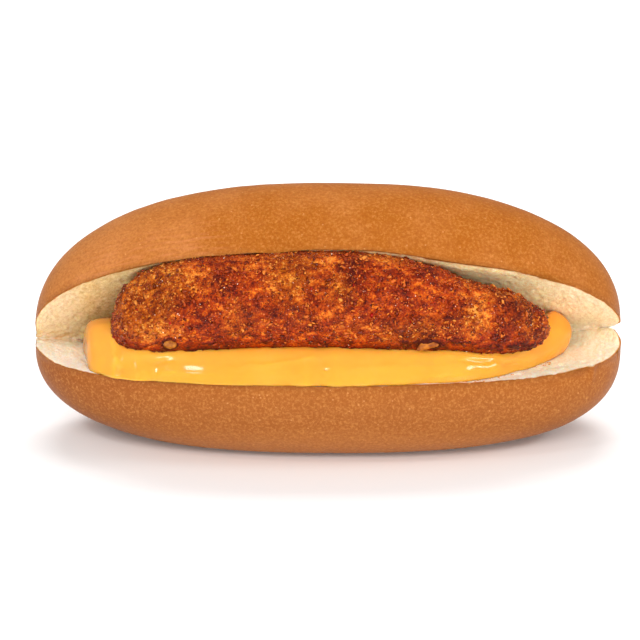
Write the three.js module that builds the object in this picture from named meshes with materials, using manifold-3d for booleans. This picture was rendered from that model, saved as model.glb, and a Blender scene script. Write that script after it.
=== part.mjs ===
// A chicken cutlet sandwich: a long soft roll, slit along its front and opened to a V, with cheese sauce
// on its lower half and a long breaded cutlet lying on the sauce.
//
// Millimetres. X runs along the roll, Y from the open front (-Y) to the back, Z up. The origin is the
// middle of the sandwich's box, on the surface that it rests on.
//
// Shapes are worked out in the slit frame, a side view of the roll: (x, w, v), with w = v = 0 at the
// bottom of the slit, w forward out of the slit and v square to it. toWorld() stands it on the table.

import * as THREE from "three";
import { mergeVertices } from "three/addons/utils/BufferGeometryUtils.js";
import Module from "manifold-3d";

// ---- Driving dimensions of the roll, taken with its slit shut ----
const ROLL_HALF_LENGTH = 82.7;
const ROLL_HALF_DEPTH = 35;
const ROLL_SHIFT_X = 0.4; // the roll's middle, from the cutlet's
const PLAN_EXPONENT = 2.25; // of the roll's outline from above: 2 is an ellipse, more is squarer
const UPPER = { height: 30.6, exponent: 2.45 }; // the dome above the slit
const LOWER = { height: 25.4, exponent: 2.65 }; // the dome below it
const LOWER_LIP_REACH = 3; // the lower half stands out this much further in front

// ---- The slit ----
const CENTRE_TO_HINGE = 28; // from the roll's middle back to the bottom of the slit
const HINGE_SHARE = 0.8; // the slit's bottom keeps this share of the roll's half depth
const END_CUT = { mean: 8.5, right: 1 }; // the slit runs out through the ends, this far behind the tips
const UPPER_OPENING = { middle: 21.1, tip: 19.8, right: -1.1 }; // degrees, from the slit frame's w
const LOWER_OPENING = { middle: 12.2, tip: 15.2, right: -0.15 };
const BACK_FOLD = { from: 80, to: 280 }; // the crust bends between these angles round the hinge
const SLIT_RISE = 17; // degrees that w points above level
const HINGE_HEIGHT = 19.6; // the bottom of the slit, above the table
const BASE_ROUNDING = 1.1; // height over which the crust turns into the flat base
const END_SWELL = { reach: 2, round: 3.2 }; // torn crumb pushes the roll's ends out where the slit leaves
const HOLLOW_EDGE = 2; // the rounding round the hollow that the cutlet presses into the upper half
const JUST_OFF_CUT = 1e-9; // tells a point on a cut face from the uncut bread behind the hinge

// ---- The cutlet ----
const CUTLET_HALF_LENGTH = 60.4;
const CUTLET_SHIFT_X = 1.2;
const CUTLET_HALF_WIDTH = 15.5; // along w
const CUTLET_HALF_HEIGHT = 13.2; // along v
const CUTLET_MIDDLE = { w: 53.5, v: 9.5 };
const CUTLET_SECTION_EXPONENT = 2.2;
const CUTLET_ENDS = { left: 4, right: 2.4 }; // a blunt left end, a tapering right end
const CUTLET_ARCH = { left: { drop: 4.6, power: 2.4 }, right: { drop: 6.8, power: 1.6 } }; // of its ends
const CUTLET_END_BACK = 4; // its ends lie this much further back than its middle
const CUTLET_DENT = { x: 40.5, width: 7.5, depth: 3.2 }; // in its top, where the right end tapers
const CRAGS = { waves: 10, longest: 24, ratio: 0.83, share: 0.028 };
const BURIED_CRAGS = 0.35; // the crags' share on the underside, which is pressed in the sauce
const CRAG_LIFT = 0.75; // the valleys between the crags are deeper than their ridges are high
const HIGHEST_CRAG = 0.7;
const UNDER_BREAD = { height: 0.5, from: -54, to: 32 }; // the bread presses the crags flat along here
const SEED = { x: -43, turn: -38, radii: [1.9, 1.1, 1.35], lean: 0.1 }; // turns are round from the front
const FLAKE = { x: 27.5, turn: -36, radii: [3.4, 0.9, 1.7], lean: -0.5 };
const CRUMBS = { count: 42, smallest: 1.5, largest: 3.0, flatness: 0.45, breadth: 0.7, sunk: 0.25 };
const CRUMBS_LIE = { left: -0.92, right: 0.88, lowest: -50, highest: 75 }; // shares along, degrees round

// ---- The cheese sauce ----
const SAUCE = { left: -69.4, right: 71, back: 24, thickness: 9.8, edgeExponent: 2.2, bead: 7.5 };
const SAUCE_LEFT_END = { plan: 16, height: 8 }; // exponents of its outline from above and of its height
const SAUCE_RIGHT_END = { plan: 2.5, height: 2.8 };
const SAUCE_SLANT = 0.14; // the left end leans this much to the right for each millimetre forward
const SAUCE_FRONT = { inset: 0.8, bareFrom: 30, bareInset: 9 }; // it leaves the lip bare on the right
const SAUCE_LOBES = { left: 3.7, right: 6, beforeTip: 5, over: 8 }; // it stands up round the cutlet's tips

// ---- Clearances between the pieces ----
const BREAD_OVER_CUTLET = 2.2;
const SAUCE_UNDER_CUTLET = 1.3;
const SAUCE_OVER_BREAD = 0.45;

// ---- Fineness ----
const DOME_RINGS = 10;
const FRONT_STEPS = 44;
const BACK_STEPS = 20;
const FACE_ROWS = 10;
const CUTLET_RINGS = 50;
const CUTLET_SECTORS = 42;
const SAUCE_RINGS = 56;
const SAUCE_SECTORS = 24;

const wasm = await Module();
wasm.setup();

const radians = THREE.MathUtils.degToRad;
const lerp = THREE.MathUtils.lerp;
const smoothstep = (t) => THREE.MathUtils.smoothstep(t, 0, 1);
const signedPower = (value, power) => Math.sign(value) * Math.abs(value) ** power;

// The greater of a and b, rounded off where they differ by less than width.
function softMax(a, b, width) {
  const overlap = Math.max(1 - Math.abs(a - b) / width, 0);
  return Math.max(a, b) + (width * overlap * overlap) / 4;
}

// The half width, as a share, of a superellipse at t from -1 to 1.
function bulge(t, exponent) {
  return Math.max(1 - Math.abs(t) ** exponent, 0) ** (1 / exponent);
}

// Stands a point of the slit frame on the table, with the roll's base pressed flat at z = 0.
function toWorld([x, w, v]) {
  const rise = radians(SLIT_RISE);
  const y = -w * Math.cos(rise) + v * Math.sin(rise);
  const z = HINGE_HEIGHT + w * Math.sin(rise) + v * Math.cos(rise);
  return [x, y, softMax(z, 0, 2 * BASE_ROUNDING)];
}

// ---- Closed surfaces from grids ----

// Rows of points as triangles. Each patch is [rows, flipped]; equal points of two patches are joined.
function solidFrom(patches) {
  const position = [];
  for (const [rows, flipped] of patches) {
    for (let i = 0; i + 1 < rows.length; i++) {
      for (let j = 0; j + 1 < rows[i].length; j++) {
        const quad = [rows[i][j], rows[i][j + 1], rows[i + 1][j + 1], rows[i + 1][j]];
        addTriangle(position, quad[0], quad[1], quad[2], flipped);
        addTriangle(position, quad[0], quad[2], quad[3], flipped);
      }
    }
  }
  const geometry = new THREE.BufferGeometry();
  geometry.setAttribute("position", new THREE.Float32BufferAttribute(position, 3));
  return geometry;
}

function addTriangle(position, a, b, c, flipped) {
  const apart = (p, q) => Math.hypot(p[0] - q[0], p[1] - q[1], p[2] - q[2]) > 1e-5;
  if (apart(a, b) && apart(b, c) && apart(c, a)) {
    const corners = flipped ? [a, c, b] : [a, b, c];
    position.push(...corners.flat());
  }
}

// ---- The roll ----

const halfDepth = (x) => ROLL_HALF_DEPTH * bulge(x / ROLL_HALF_LENGTH, PLAN_EXPONENT);

// The bottom of the slit at x, measured forward from where it is in the middle of the roll.
function hingeAt(x) {
  const endCut = END_CUT.mean + (END_CUT.right * x) / ROLL_HALF_LENGTH;
  return CENTRE_TO_HINGE - Math.cbrt((HINGE_SHARE * halfDepth(x)) ** 3 + endCut ** 3);
}

function openingAt(opening, x) {
  const share = x / ROLL_HALF_LENGTH;
  const degrees = lerp(opening.middle, opening.tip, Math.abs(share) ** 3) + opening.right * share;
  return radians(degrees);
}

// Opens the roll: a point at x, s forward and h above the hinge's middle, with the slit shut, turns
// round the hinge with its half. The crust behind the hinge bends from one half's turn to the other's.
function opened(x, s, h, isUpper) {
  const hinge = hingeAt(x);
  const radius = Math.hypot(s - hinge, h);
  let angle = Math.atan2(h, s - hinge);
  if (!isUpper && angle <= 0) angle += 2 * Math.PI;
  const upperTurn = openingAt(UPPER_OPENING, x);
  const lowerTurn = openingAt(LOWER_OPENING, x);
  const behind = (THREE.MathUtils.radToDeg(angle) - BACK_FOLD.from) / (BACK_FOLD.to - BACK_FOLD.from);
  const bend = smoothstep(behind);
  const turned = angle + upperTurn - (upperTurn + lowerTurn) * bend;
  return [x + ROLL_SHIFT_X, hinge + radius * Math.cos(turned), radius * Math.sin(turned)];
}

// A point of the roll's outline from above: turn 0 is its right end, a quarter turn its front.
function outlineAt(turn, share, isUpper) {
  const power = 2 / PLAN_EXPONENT;
  const forward = signedPower(Math.sin(turn), power);
  const reach = ROLL_HALF_DEPTH + (isUpper ? 0 : LOWER_LIP_REACH * Math.max(forward, 0));
  const x = ROLL_HALF_LENGTH * share * signedPower(Math.cos(turn), power);
  return [x, CENTRE_TO_HINGE + reach * share * forward];
}

// The turn of the outline where the slit comes out, behind the tip on one side (1 right, -1 left).
function slitExit(side) {
  let near = 0;
  let far = 0.6;
  for (let i = 0; i < 50; i++) {
    const middle = (near + far) / 2;
    const [x, s] = outlineAt(-middle, 1, true);
    if (s > hingeAt(side * x)) near = middle;
    else far = middle;
  }
  return near;
}

const exitRight = -slitExit(1);
const exitLeft = Math.PI + slitExit(-1);
const exitX = { right: outlineAt(exitRight, 1, true)[0], left: outlineAt(exitLeft, 1, true)[0] };

// Turns of the outline, from the slit's right exit round the front to the left one, and on round the back.
const evenSteps = (from, to, steps) => Array.from({ length: steps + 1 }, (_, i) => lerp(from, to, i / steps));
const frontTurns = evenSteps(exitRight, exitLeft, FRONT_STEPS);
const backTurns = evenSteps(exitLeft, exitRight + 2 * Math.PI, BACK_STEPS);
const allTurns = [...frontTurns, ...backTurns.slice(1)];

// Pushes a point of the roll outwards, the more the nearer it is to where the slit comes out.
function swollen([x, w, v]) {
  const [side, exit] = x > 0 ? [1, exitX.right] : [-1, exitX.left];
  const away = Math.hypot(x - exit - ROLL_SHIFT_X, w - hingeAt(exit), v) / END_SWELL.round;
  return [x + side * END_SWELL.reach * Math.exp((-away * away) / 2), w, v];
}

const rollPoint = (point) => toWorld(swollen(point));
const hingePoint = (x) => rollPoint([x + ROLL_SHIFT_X, hingeAt(x), 0]);

// The cutlet holds the upper half of the bread up where it would sink in.
function heldUp([x, w, v]) {
  return [x, w, softMax(v, cutletTop(x, w), HOLLOW_EDGE)];
}

// A point of the cut's edge in front, on one half. The two lips meet where the slit comes out.
function lipPoint(i, isUpper) {
  if (i === 0) return hingePoint(exitX.right);
  if (i === FRONT_STEPS) return hingePoint(exitX.left);
  const [x, s] = outlineAt(frontTurns[i], 1, isUpper);
  const point = opened(x, s, isUpper ? JUST_OFF_CUT : -JUST_OFF_CUT, isUpper);
  return rollPoint(isUpper ? heldUp(point) : point);
}

// The crust's edge: the lip in front, and behind the hinge the line where the two halves are one.
function edgePoint(i, isUpper) {
  if (i <= FRONT_STEPS) return lipPoint(i, isUpper);
  if (i === allTurns.length - 1) return lipPoint(0, isUpper);
  const [x, s] = outlineAt(allTurns[i], 1, true);
  return rollPoint(opened(x, s, 0, true));
}

// The crust of one half: rings of the outline, from the middle of the dome out to its edge.
function crustRows(half, isUpper) {
  const rows = [];
  for (let ring = 0; ring < DOME_RINGS; ring++) {
    const share = Math.sin(((ring / DOME_RINGS) * Math.PI) / 2);
    const height = (isUpper ? 1 : -1) * half.height * bulge(share, half.exponent);
    const points = allTurns.map((turn) => outlineAt(turn, share, isUpper));
    rows.push(points.map(([x, s]) => rollPoint(opened(x, s, height, isUpper))));
  }
  rows.push(allTurns.map((_, i) => edgePoint(i, isUpper)));
  return rows;
}

// A cut face: straight lines from the hinge to the lip, and on the upper half the hollow that the
// cutlet presses into the bread.
function cutFaceRows(isUpper) {
  return frontTurns.map((turn, i) => {
    const across = (1 + Math.cos((Math.PI * i) / FRONT_STEPS)) / 2;
    const hingeX = lerp(exitX.left, exitX.right, across);
    const [lipX, lipS] = outlineAt(turn, 1, isUpper);
    const row = [];
    for (let k = 0; k <= FACE_ROWS; k++) {
      const out = k / FACE_ROWS;
      const x = lerp(hingeX, lipX, out);
      const s = lerp(hingeAt(hingeX), lipS, out);
      const point = opened(x, s, isUpper ? JUST_OFF_CUT : -JUST_OFF_CUT, isUpper);
      row.push(rollPoint(isUpper ? heldUp(point) : point));
    }
    row[0] = hingePoint(hingeX);
    row[FACE_ROWS] = lipPoint(i, isUpper);
    return i === 0 || i === FRONT_STEPS ? row.map(() => lipPoint(i, isUpper)) : row;
  });
}

function rollGeometry() {
  return solidFrom([
    [crustRows(UPPER, true), false],
    [crustRows(LOWER, false), true],
    [cutFaceRows(true), false],
    [cutFaceRows(false), true],
  ]);
}

// ---- The cutlet ----

// The cutlet's middle line and half sizes at x.
function cutletSection(x) {
  const t = THREE.MathUtils.clamp((x - CUTLET_SHIFT_X) / CUTLET_HALF_LENGTH, -1, 1);
  const end = t < 0 ? CUTLET_ENDS.left : CUTLET_ENDS.right;
  const arch = t < 0 ? CUTLET_ARCH.left : CUTLET_ARCH.right;
  const drop = arch.drop * Math.abs(t) ** arch.power;
  const size = bulge(t, end);
  const dent = (CUTLET_DENT.depth / 2) * Math.exp(-(((x - CUTLET_DENT.x) / CUTLET_DENT.width) ** 2));
  return {
    w: CUTLET_MIDDLE.w - CUTLET_END_BACK * t * t,
    v: CUTLET_MIDDLE.v - drop - dent,
    halfWidth: CUTLET_HALF_WIDTH * size,
    halfHeight: (CUTLET_HALF_HEIGHT - dent) * size,
  };
}

// The height of the cutlet's upper or lower side over a point, with a margin left round it.
function cutletSide(x, w, side, margin) {
  const shrink = CUTLET_HALF_LENGTH / (CUTLET_HALF_LENGTH + margin);
  const section = cutletSection(CUTLET_SHIFT_X + (x - CUTLET_SHIFT_X) * shrink);
  const across = (w - section.w) / (section.halfWidth + margin);
  if (section.halfWidth < 1 || Math.abs(across) >= 1) return NaN;
  return section.v + side * (section.halfHeight + margin) * bulge(across, CUTLET_SECTION_EXPONENT);
}

function cutletTop(x, w) {
  const top = cutletSide(x, w, 1, BREAD_OVER_CUTLET);
  return Number.isNaN(top) ? -Infinity : top;
}

// Crags: ridged waves from all sides, each shorter and lower than the one before.
function crags(x, w, v) {
  const goldenAngle = Math.PI * (3 - Math.sqrt(5));
  let height = 0;
  for (let k = 0; k < CRAGS.waves; k++) {
    const steep = 1 - (2 * k + 1) / CRAGS.waves;
    const level = Math.sqrt(1 - steep * steep);
    const length = CRAGS.longest * CRAGS.ratio ** k;
    const along = x * level * Math.cos(k * goldenAngle) + w * level * Math.sin(k * goldenAngle) + v * steep;
    height += CRAGS.share * length * (1 - 2 * Math.abs(Math.sin((Math.PI * along) / length + k)));
  }
  return height;
}

// How far the breading stands out at a point: the crags, cut down where they are highest or pressed.
function breading(x, w, v, turn) {
  const buried = smoothstep(-Math.sin(turn) * 2);
  const height = CRAG_LIFT + crags(x, w, v) * lerp(1, BURIED_CRAGS, buried);
  const along = smoothstep((UNDER_BREAD.to - x) / 12) * smoothstep((x - UNDER_BREAD.from) / 8);
  const pressed = smoothstep((Math.sin(turn) - 0.7) / 0.2) * along;
  return lerp(-softMax(-height, -HIGHEST_CRAG, 1), UNDER_BREAD.height, pressed);
}

// A point this far outside the cutlet's surface: t from -1 to 1 along it, turn round it from the front.
function cutletPoint(t, turn, outside) {
  const x = CUTLET_SHIFT_X + CUTLET_HALF_LENGTH * t;
  const section = cutletSection(x);
  const power = 2 / CUTLET_SECTION_EXPONENT;
  const w = section.w + section.halfWidth * signedPower(Math.cos(turn), power);
  const v = section.v + section.halfHeight * signedPower(Math.sin(turn), power);
  const height = outside + breading(x, w, v, turn);
  const endwise = t ** 5;
  const around = Math.sqrt(1 - endwise * endwise);
  return [
    x + height * endwise,
    w + height * around * Math.cos(turn),
    v + height * around * Math.sin(turn),
  ];
}

// A seed, flake or crumb: a faceted ellipsoid lying on the cutlet's surface.
function grainGeometry({ x, turn, radii, lean }, detail) {
  const t = (x - CUTLET_SHIFT_X) / CUTLET_HALF_LENGTH;
  const angle = radians(turn);
  const place = new THREE.Vector3(...toWorld(cutletPoint(t, angle, radii[1] * CRUMBS.sunk)));
  const outside = new THREE.Vector3(...toWorld(cutletPoint(t, angle, radii[1] + 1)));
  const upright = new THREE.Quaternion().setFromUnitVectors(
    new THREE.Vector3(0, 1, 0),
    outside.sub(place).normalize(),
  );
  const turned = new THREE.Quaternion().setFromAxisAngle(new THREE.Vector3(0, 1, 0), lean);
  const geometry = new THREE.IcosahedronGeometry(1, detail);
  return geometry.applyMatrix4(
    new THREE.Matrix4().compose(place, upright.multiply(turned), new THREE.Vector3(...radii)),
  );
}

// A repeatable draw between 0 and 1.
function draw(number) {
  const value = Math.sin(number * 12.9898) * 43758.5453;
  return value - Math.floor(value);
}

function toManifold(geometry) {
  const bare = geometry.clone();
  bare.deleteAttribute("normal");
  bare.deleteAttribute("uv");
  const merged = mergeVertices(bare, 1e-4);
  const vertProperties = new Float32Array(merged.getAttribute("position").array);
  const triVerts = new Uint32Array(merged.getIndex().array);
  return new wasm.Manifold(new wasm.Mesh({ numProp: 3, vertProperties, triVerts }));
}

function toGeometry(solid) {
  const mesh = solid.getMesh();
  const geometry = new THREE.BufferGeometry();
  geometry.setAttribute("position", new THREE.Float32BufferAttribute(mesh.vertProperties, 3));
  geometry.setIndex(new THREE.Uint32BufferAttribute(mesh.triVerts, 1));
  return geometry;
}

function cutletGeometry() {
  const rows = [];
  for (let ring = 0; ring <= CUTLET_RINGS; ring++) {
    const t = -Math.cos((Math.PI * ring) / CUTLET_RINGS);
    const row = [];
    for (let sector = 0; sector <= CUTLET_SECTORS; sector++) {
      const turn = (2 * Math.PI * (sector % CUTLET_SECTORS)) / CUTLET_SECTORS;
      const atPole = ring === 0 || ring === CUTLET_RINGS;
      row.push(toWorld(cutletPoint(t, atPole ? 0 : turn, 0)));
    }
    rows.push(row);
  }
  let solid = toManifold(solidFrom([[rows, true]]));
  const grains = [grainGeometry(SEED, 1), grainGeometry(FLAKE, 1)];
  for (let i = 0; i < CRUMBS.count; i++) {
    const size = lerp(CRUMBS.smallest, CRUMBS.largest, draw(4 * i) ** 2);
    const t = lerp(CRUMBS_LIE.left, CRUMBS_LIE.right, (i + draw(4 * i + 1)) / CRUMBS.count);
    const grain = {
      x: CUTLET_SHIFT_X + CUTLET_HALF_LENGTH * t,
      turn: lerp(CRUMBS_LIE.lowest, CRUMBS_LIE.highest, draw(4 * i + 2)),
      radii: [size, size * CRUMBS.flatness, size * CRUMBS.breadth],
      lean: 2 * Math.PI * draw(4 * i + 3),
    };
    grains.push(grainGeometry(grain, 0));
  }
  for (const grain of grains) solid = solid.add(toManifold(grain));
  return toGeometry(solid);
}

// ---- The cheese sauce ----

// The lower cut face under a point of the slit frame.
function lowerFace(x, w) {
  const rollX = x - ROLL_SHIFT_X;
  return -Math.max(w - hingeAt(rollX), 0) * Math.tan(openingAt(LOWER_OPENING, rollX));
}

// How far forward the sauce reaches at x: to the lip, and short of it round its right lobe.
function sauceFront(x) {
  const rollX = x - ROLL_SHIFT_X;
  const hinge = hingeAt(rollX);
  const lip = CENTRE_TO_HINGE + halfDepth(rollX) * (1 + LOWER_LIP_REACH / ROLL_HALF_DEPTH);
  const bare = smoothstep((x - SAUCE_FRONT.bareFrom) / (SAUCE.right - SAUCE_FRONT.bareFrom));
  const inset = lerp(SAUCE_FRONT.inset, SAUCE_FRONT.bareInset, bare);
  return hinge + (lip - hinge) * Math.cos(openingAt(LOWER_OPENING, rollX)) - inset;
}

// The w at this share of the layer's width at x, -1 at the back and 1 in front. The top runs level to
// the bead that rounds off the front; size draws front and back in towards the ends.
function sauceAcross(x, size, share) {
  const front = sauceFront(x);
  const middle = (front + SAUCE.back) / 2;
  const reach = ((front - SAUCE.back) / 2) * size;
  const crest = middle + Math.max(reach - SAUCE.bead, 0);
  return share > 0 ? lerp(crest, middle + reach, share) : lerp(crest, middle - reach, -share);
}

function sauceGeometry() {
  const middle = (SAUCE.left + SAUCE.right) / 2;
  const halfLength = (SAUCE.right - SAUCE.left) / 2;
  const power = 2 / SAUCE.edgeExponent;
  const rows = [];
  for (let ring = 0; ring <= SAUCE_RINGS; ring++) {
    const t = -Math.cos((Math.PI * ring) / SAUCE_RINGS);
    const straightX = middle + halfLength * t;
    const end = t < 0 ? SAUCE_LEFT_END : SAUCE_RIGHT_END;
    const rise = t < 0 ? SAUCE_LOBES.left : SAUCE_LOBES.right;
    const pastTip = Math.abs(straightX - CUTLET_SHIFT_X) - CUTLET_HALF_LENGTH + SAUCE_LOBES.beforeTip;
    const lobe = rise * smoothstep(pastTip / SAUCE_LOBES.over);
    const height = (SAUCE.thickness + lobe) * bulge(t, end.height);
    const leaning = SAUCE_SLANT * smoothstep((-t - 0.8) / 0.2);
    const row = [];
    for (let sector = 0; sector <= SAUCE_SECTORS; sector++) {
      const turn = (2 * Math.PI * (sector % SAUCE_SECTORS)) / SAUCE_SECTORS;
      const w = sauceAcross(straightX, bulge(t, end.plan), signedPower(Math.cos(turn), power));
      const x = straightX + leaning * Math.max(w - SAUCE.back, 0);
      const floor = lowerFace(x, w) + SAUCE_OVER_BREAD;
      const thickness = height * Math.max(Math.sin(turn), 0) ** power;
      const cutlet = cutletSide(x, w, -1, SAUCE_UNDER_CUTLET);
      const top = Math.min(floor + thickness, Number.isNaN(cutlet) ? Infinity : cutlet);
      row.push(toWorld([x, w, Math.max(top, floor)]));
    }
    rows.push(row);
  }
  return solidFrom([[rows, true]]);
}

// ---- The sandwich ----

function piece(name, geometry, color, roughness) {
  const material = new THREE.MeshStandardMaterial({ color, roughness, metalness: 0 });
  const mesh = new THREE.Mesh(geometry, material);
  mesh.name = name;
  return mesh;
}

const sandwich = new THREE.Group();
sandwich.name = "sandwich";
sandwich.add(piece("roll", rollGeometry(), 0xcb7c34, 0.5));
sandwich.add(piece("cheese_sauce", sauceGeometry(), 0xfeb43c, 0.2));
sandwich.add(piece("cutlet", cutletGeometry(), 0xaf481c, 0.45));

// The origin goes under the middle of the sandwich's box.
const box = new THREE.Box3().setFromObject(sandwich);
const boxMiddle = box.getCenter(new THREE.Vector3());
for (const mesh of sandwich.children) mesh.position.set(-boxMiddle.x, -boxMiddle.y, -box.min.z);

export default sandwich;
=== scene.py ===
"""A chicken cutlet sandwich: a long soft roll opened to a V, cheese sauce and a breaded cutlet.

Shapes are worked out in millimetres in the slit frame, a side view of the roll: (x, w, v), with
w = v = 0 at the bottom of the slit, w forward out of it and v square to it. to_table() stands them
on the table, in metres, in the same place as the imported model.
"""

import itertools
import math

import bpy
import numpy as np
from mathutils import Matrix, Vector


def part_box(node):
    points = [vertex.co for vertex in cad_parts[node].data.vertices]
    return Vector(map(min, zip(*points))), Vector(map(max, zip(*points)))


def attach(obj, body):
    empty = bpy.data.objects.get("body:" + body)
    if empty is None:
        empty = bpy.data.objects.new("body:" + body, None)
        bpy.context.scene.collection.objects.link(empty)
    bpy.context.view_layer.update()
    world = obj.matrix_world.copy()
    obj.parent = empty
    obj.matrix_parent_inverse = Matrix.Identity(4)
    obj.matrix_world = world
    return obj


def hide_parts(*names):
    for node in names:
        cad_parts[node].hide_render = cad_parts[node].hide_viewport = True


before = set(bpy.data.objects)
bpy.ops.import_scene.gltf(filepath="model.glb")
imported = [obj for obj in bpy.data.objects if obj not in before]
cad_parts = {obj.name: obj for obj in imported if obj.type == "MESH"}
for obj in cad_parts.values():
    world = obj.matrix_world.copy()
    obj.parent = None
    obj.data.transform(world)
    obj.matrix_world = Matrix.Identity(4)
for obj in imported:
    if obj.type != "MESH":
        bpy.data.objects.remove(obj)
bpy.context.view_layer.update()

MM = 0.001
MM_PER_CM = 10

# ---- The roll, measured with its slit shut ----
ROLL_HALF_LENGTH = 82.7
ROLL_HALF_DEPTH = 35
ROLL_SHIFT_X = 0.4
PLAN_EXPONENT = 2.25
UPPER_DOME = {"height": 30.6, "exponent": 2.45, "right": 0.25}
LOWER_DOME = {"height": 25.4, "exponent": 2.65, "right": 0.3}
LOWER_LIP_REACH = 3

# ---- The slit ----
CENTRE_TO_HINGE = 28
HINGE_SHARE = 0.8
END_CUT = {"mean": 8.5, "right": 1}
UPPER_OPENING = {"middle": 21.1, "tip": 19.8, "right": -1.1}
LOWER_OPENING = {"middle": 12.2, "tip": 15.2, "right": -0.15}
BACK_FOLD = {"from": 80, "to": 280}
SLIT_RISE = math.radians(17)
HINGE_HEIGHT = 19.6
BASE_ROUNDING = 1.1
JUST_OFF_CUT = 1e-9
END_SWELL = {"left": 2, "right": 0.9, "round": 3.2}

# ---- The bread's surface ----
# Waves are pairs of a height and a size. Other pairs are where a thing sets in and where it is full.
CRUST_SWELLS = ((0.4, 34), (0.14, 12), (0.03, 3))
CRUMB_DRAWN_OUT = np.array([1, 0.35, 1])
CRUMB_PITS = {"size": 1.9, "depth": 0.55, "wall": (0.6, 0.15)}
FINE_PITS = {"size": 1.0, "depth": 0.16, "wall": (0.55, 0.15)}
CRUMB_LUMPS = {"height": 0.2, "size": 6, "small_size": 2.4}
TEAR = {"height": 0.9, "size": 2.2, "depth": (6, 1)}
TEAR_WANDER = ((1.1, 11), (0.5, 3.6))
TEAR_REACH = 5
TEAR_ENDS = (80, 76)
TORN_ENDS = {"right_above": 6.5, "elsewhere": 4.5, "shorter_behind": 1.8}
END_LIFT = {"right": 2.1, "right_x": (66, 78), "left": -0.9, "left_x": (-50, -70), "reach": 9}
LIP_FLARE = {"height": 0.75, "reach": 2.2, "left_x": (-16, 0), "right_x": (60, 40)}
LIP_SAG = {"x": 38, "width": 17, "depth": 1.3, "reach": 9}
LIP_WOBBLE = ((0.22, 7), (0.12, 2.2))
LIP_WOBBLE_REACH = (2.5, 0.5)
NICK = {"x": 73.8, "width": 0.9, "length": 7, "depth": 0.7}
CRUMB_EDGE = (0, 1.2)
LIP_TO_CRUST = 0.2
RELIEF_ABOVE_BASE = (0.2, 6.2)

# ---- The cutlet ----
CUTLET_HALF_LENGTH = 60.4
CUTLET_SHIFT_X = 1.2
CUTLET_HALF_WIDTH = 15.5
CUTLET_HALF_HEIGHT = 13.2
CUTLET_MIDDLE = {"w": 53.5, "v": 9.5}
CUTLET_SECTION_EXPONENT = 2.2
CUTLET_ENDS = {"left": 4, "right": 2.4}
CUTLET_ARCH = {"left": {"drop": 4.6, "power": 2.4}, "right": {"drop": 6.8, "power": 1.6}}
CUTLET_END_BACK = 4
CUTLET_DENT = {"x": 41.5, "width": 6.5, "depth": 3}
CUTLET_TIP_WIDTH = 1
CRAGS = {"waves": 10, "longest": 24, "ratio": 0.83, "share": 0.028}
BURIED_CRAGS = {"share": 0.35, "sine": (0, -0.5)}
CRAG_LIFT = 0.75
HIGHEST_CRAG = 0.7
UNDER_BREAD = {"height": 0.5, "left_x": (-54, -46), "right_x": (32, 20), "sine": (0.7, 0.9)}
BREAD_OVER_CUTLET = 0.2
HOLLOW_EDGE = 2
BREADING_HEIGHTS = {"lumps": 0.5, "grains": 1.2, "shreds": 0.28, "crackle": 0.26, "drift": 1.1, "sunk": 0.3}
BREADING_SIZES = {"lumps": 7, "grains": 2.4, "fine_grains": 1.1, "shreds": 2.6, "crackle": 1.0, "drift": 4.2}

# ---- The cheese sauce ----
SAUCE = {"left": -69.4, "right": 69.8, "back": 24, "right_back": 14, "thickness": 10.2, "bead": 7.5}
SAUCE_EDGE_EXPONENT = 2.2
SAUCE_ENDS = {"left": {"plan": 16, "height": 8}, "right": {"plan": 2.5, "height": 4}}
SAUCE_SLANT = 0.14
SAUCE_FRONT = {"inset": 0.2, "left_over": 1.3, "bare_from": 36, "bare_inset": 9}
SAUCE_LOBES = {"left": 3.7, "right": 6, "before_tip": 5, "over": 8}
SAUCE_TUCK = {"depth": 2.4, "height": 6}
SAUCE_TOUCH = -0.4
SAUCE_BED_EDGE = 1.5
SAUCE_OVER_X, SAUCE_BACK_X = (-46, -56), (40, 65)
SAUCE_END_T = {"slanted": (-0.8, -1), "tucked": (0.8, 1)}
SAUCE_RAISED = (0, 2)


# ---------------------------------------------------------------- numbers

def fade(value, start, end):
    """0 at start and 1 at end, 3t^2 - 2t^3 between, and held beyond. It may run either way."""
    t = np.clip((value - start) / (end - start), 0, 1)
    return t * t * (3 - 2 * t)


def hump(value, middle, reach):
    """1 at the middle and exp(-t^2) to both sides, with t the distance over the reach."""
    return np.exp(-(((value - middle) / reach) ** 2))


def lerp(a, b, t):
    """In a straight line from a at t = 0 to b at t = 1."""
    return a + (b - a) * t


def signed_power(value, power):
    """The value's size to this power, with its own sign."""
    return np.sign(value) * np.abs(value) ** power


def soft_max(a, b, width):
    """The greater of a and b, rounded off by a parabola where they differ by less than width."""
    overlap = np.maximum(1 - np.abs(a - b) / width, 0)
    return np.maximum(a, b) + width * overlap**2 / 4


def soft_min(a, b, width):
    """The lesser of a and b, rounded off in the same way."""
    return -soft_max(-a, -b, width)


def bulge(t, exponent):
    """A superellipse's half width, as a share, at t from -1 to 1: the nth root of 1 - |t|^n."""
    return np.maximum(1 - np.abs(t) ** exponent, 0) ** (1 / exponent)


DRAW_AXES = np.array([127.1, 311.7, 74.7])
DRAW_SEED_STEP = 53.3
DRAW_SPREAD = 43758.5453


def lattice(corner, seed):
    """A repeatable draw from 0 to 1 for each whole-numbered corner: the fraction in a large sine."""
    mixed = np.sin(corner @ DRAW_AXES + seed * DRAW_SEED_STEP) * DRAW_SPREAD
    return mixed - np.floor(mixed)


def soft_noise(points, size, seed):
    """Smooth noise from -1 to 1: draws at the corners of cubes of this size, blended across each."""
    scaled = points / size
    cell = np.floor(scaled)
    t = scaled - cell
    t = t**3 * (t * (t * 6 - 15) + 10)
    total = np.zeros(len(points))
    for corner in itertools.product((0, 1), repeat=3):
        weight = np.where(np.array(corner) == 1, t, 1 - t).prod(axis=1)
        total += weight * lattice(cell + corner, seed)
    return 2 * total - 1


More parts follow.
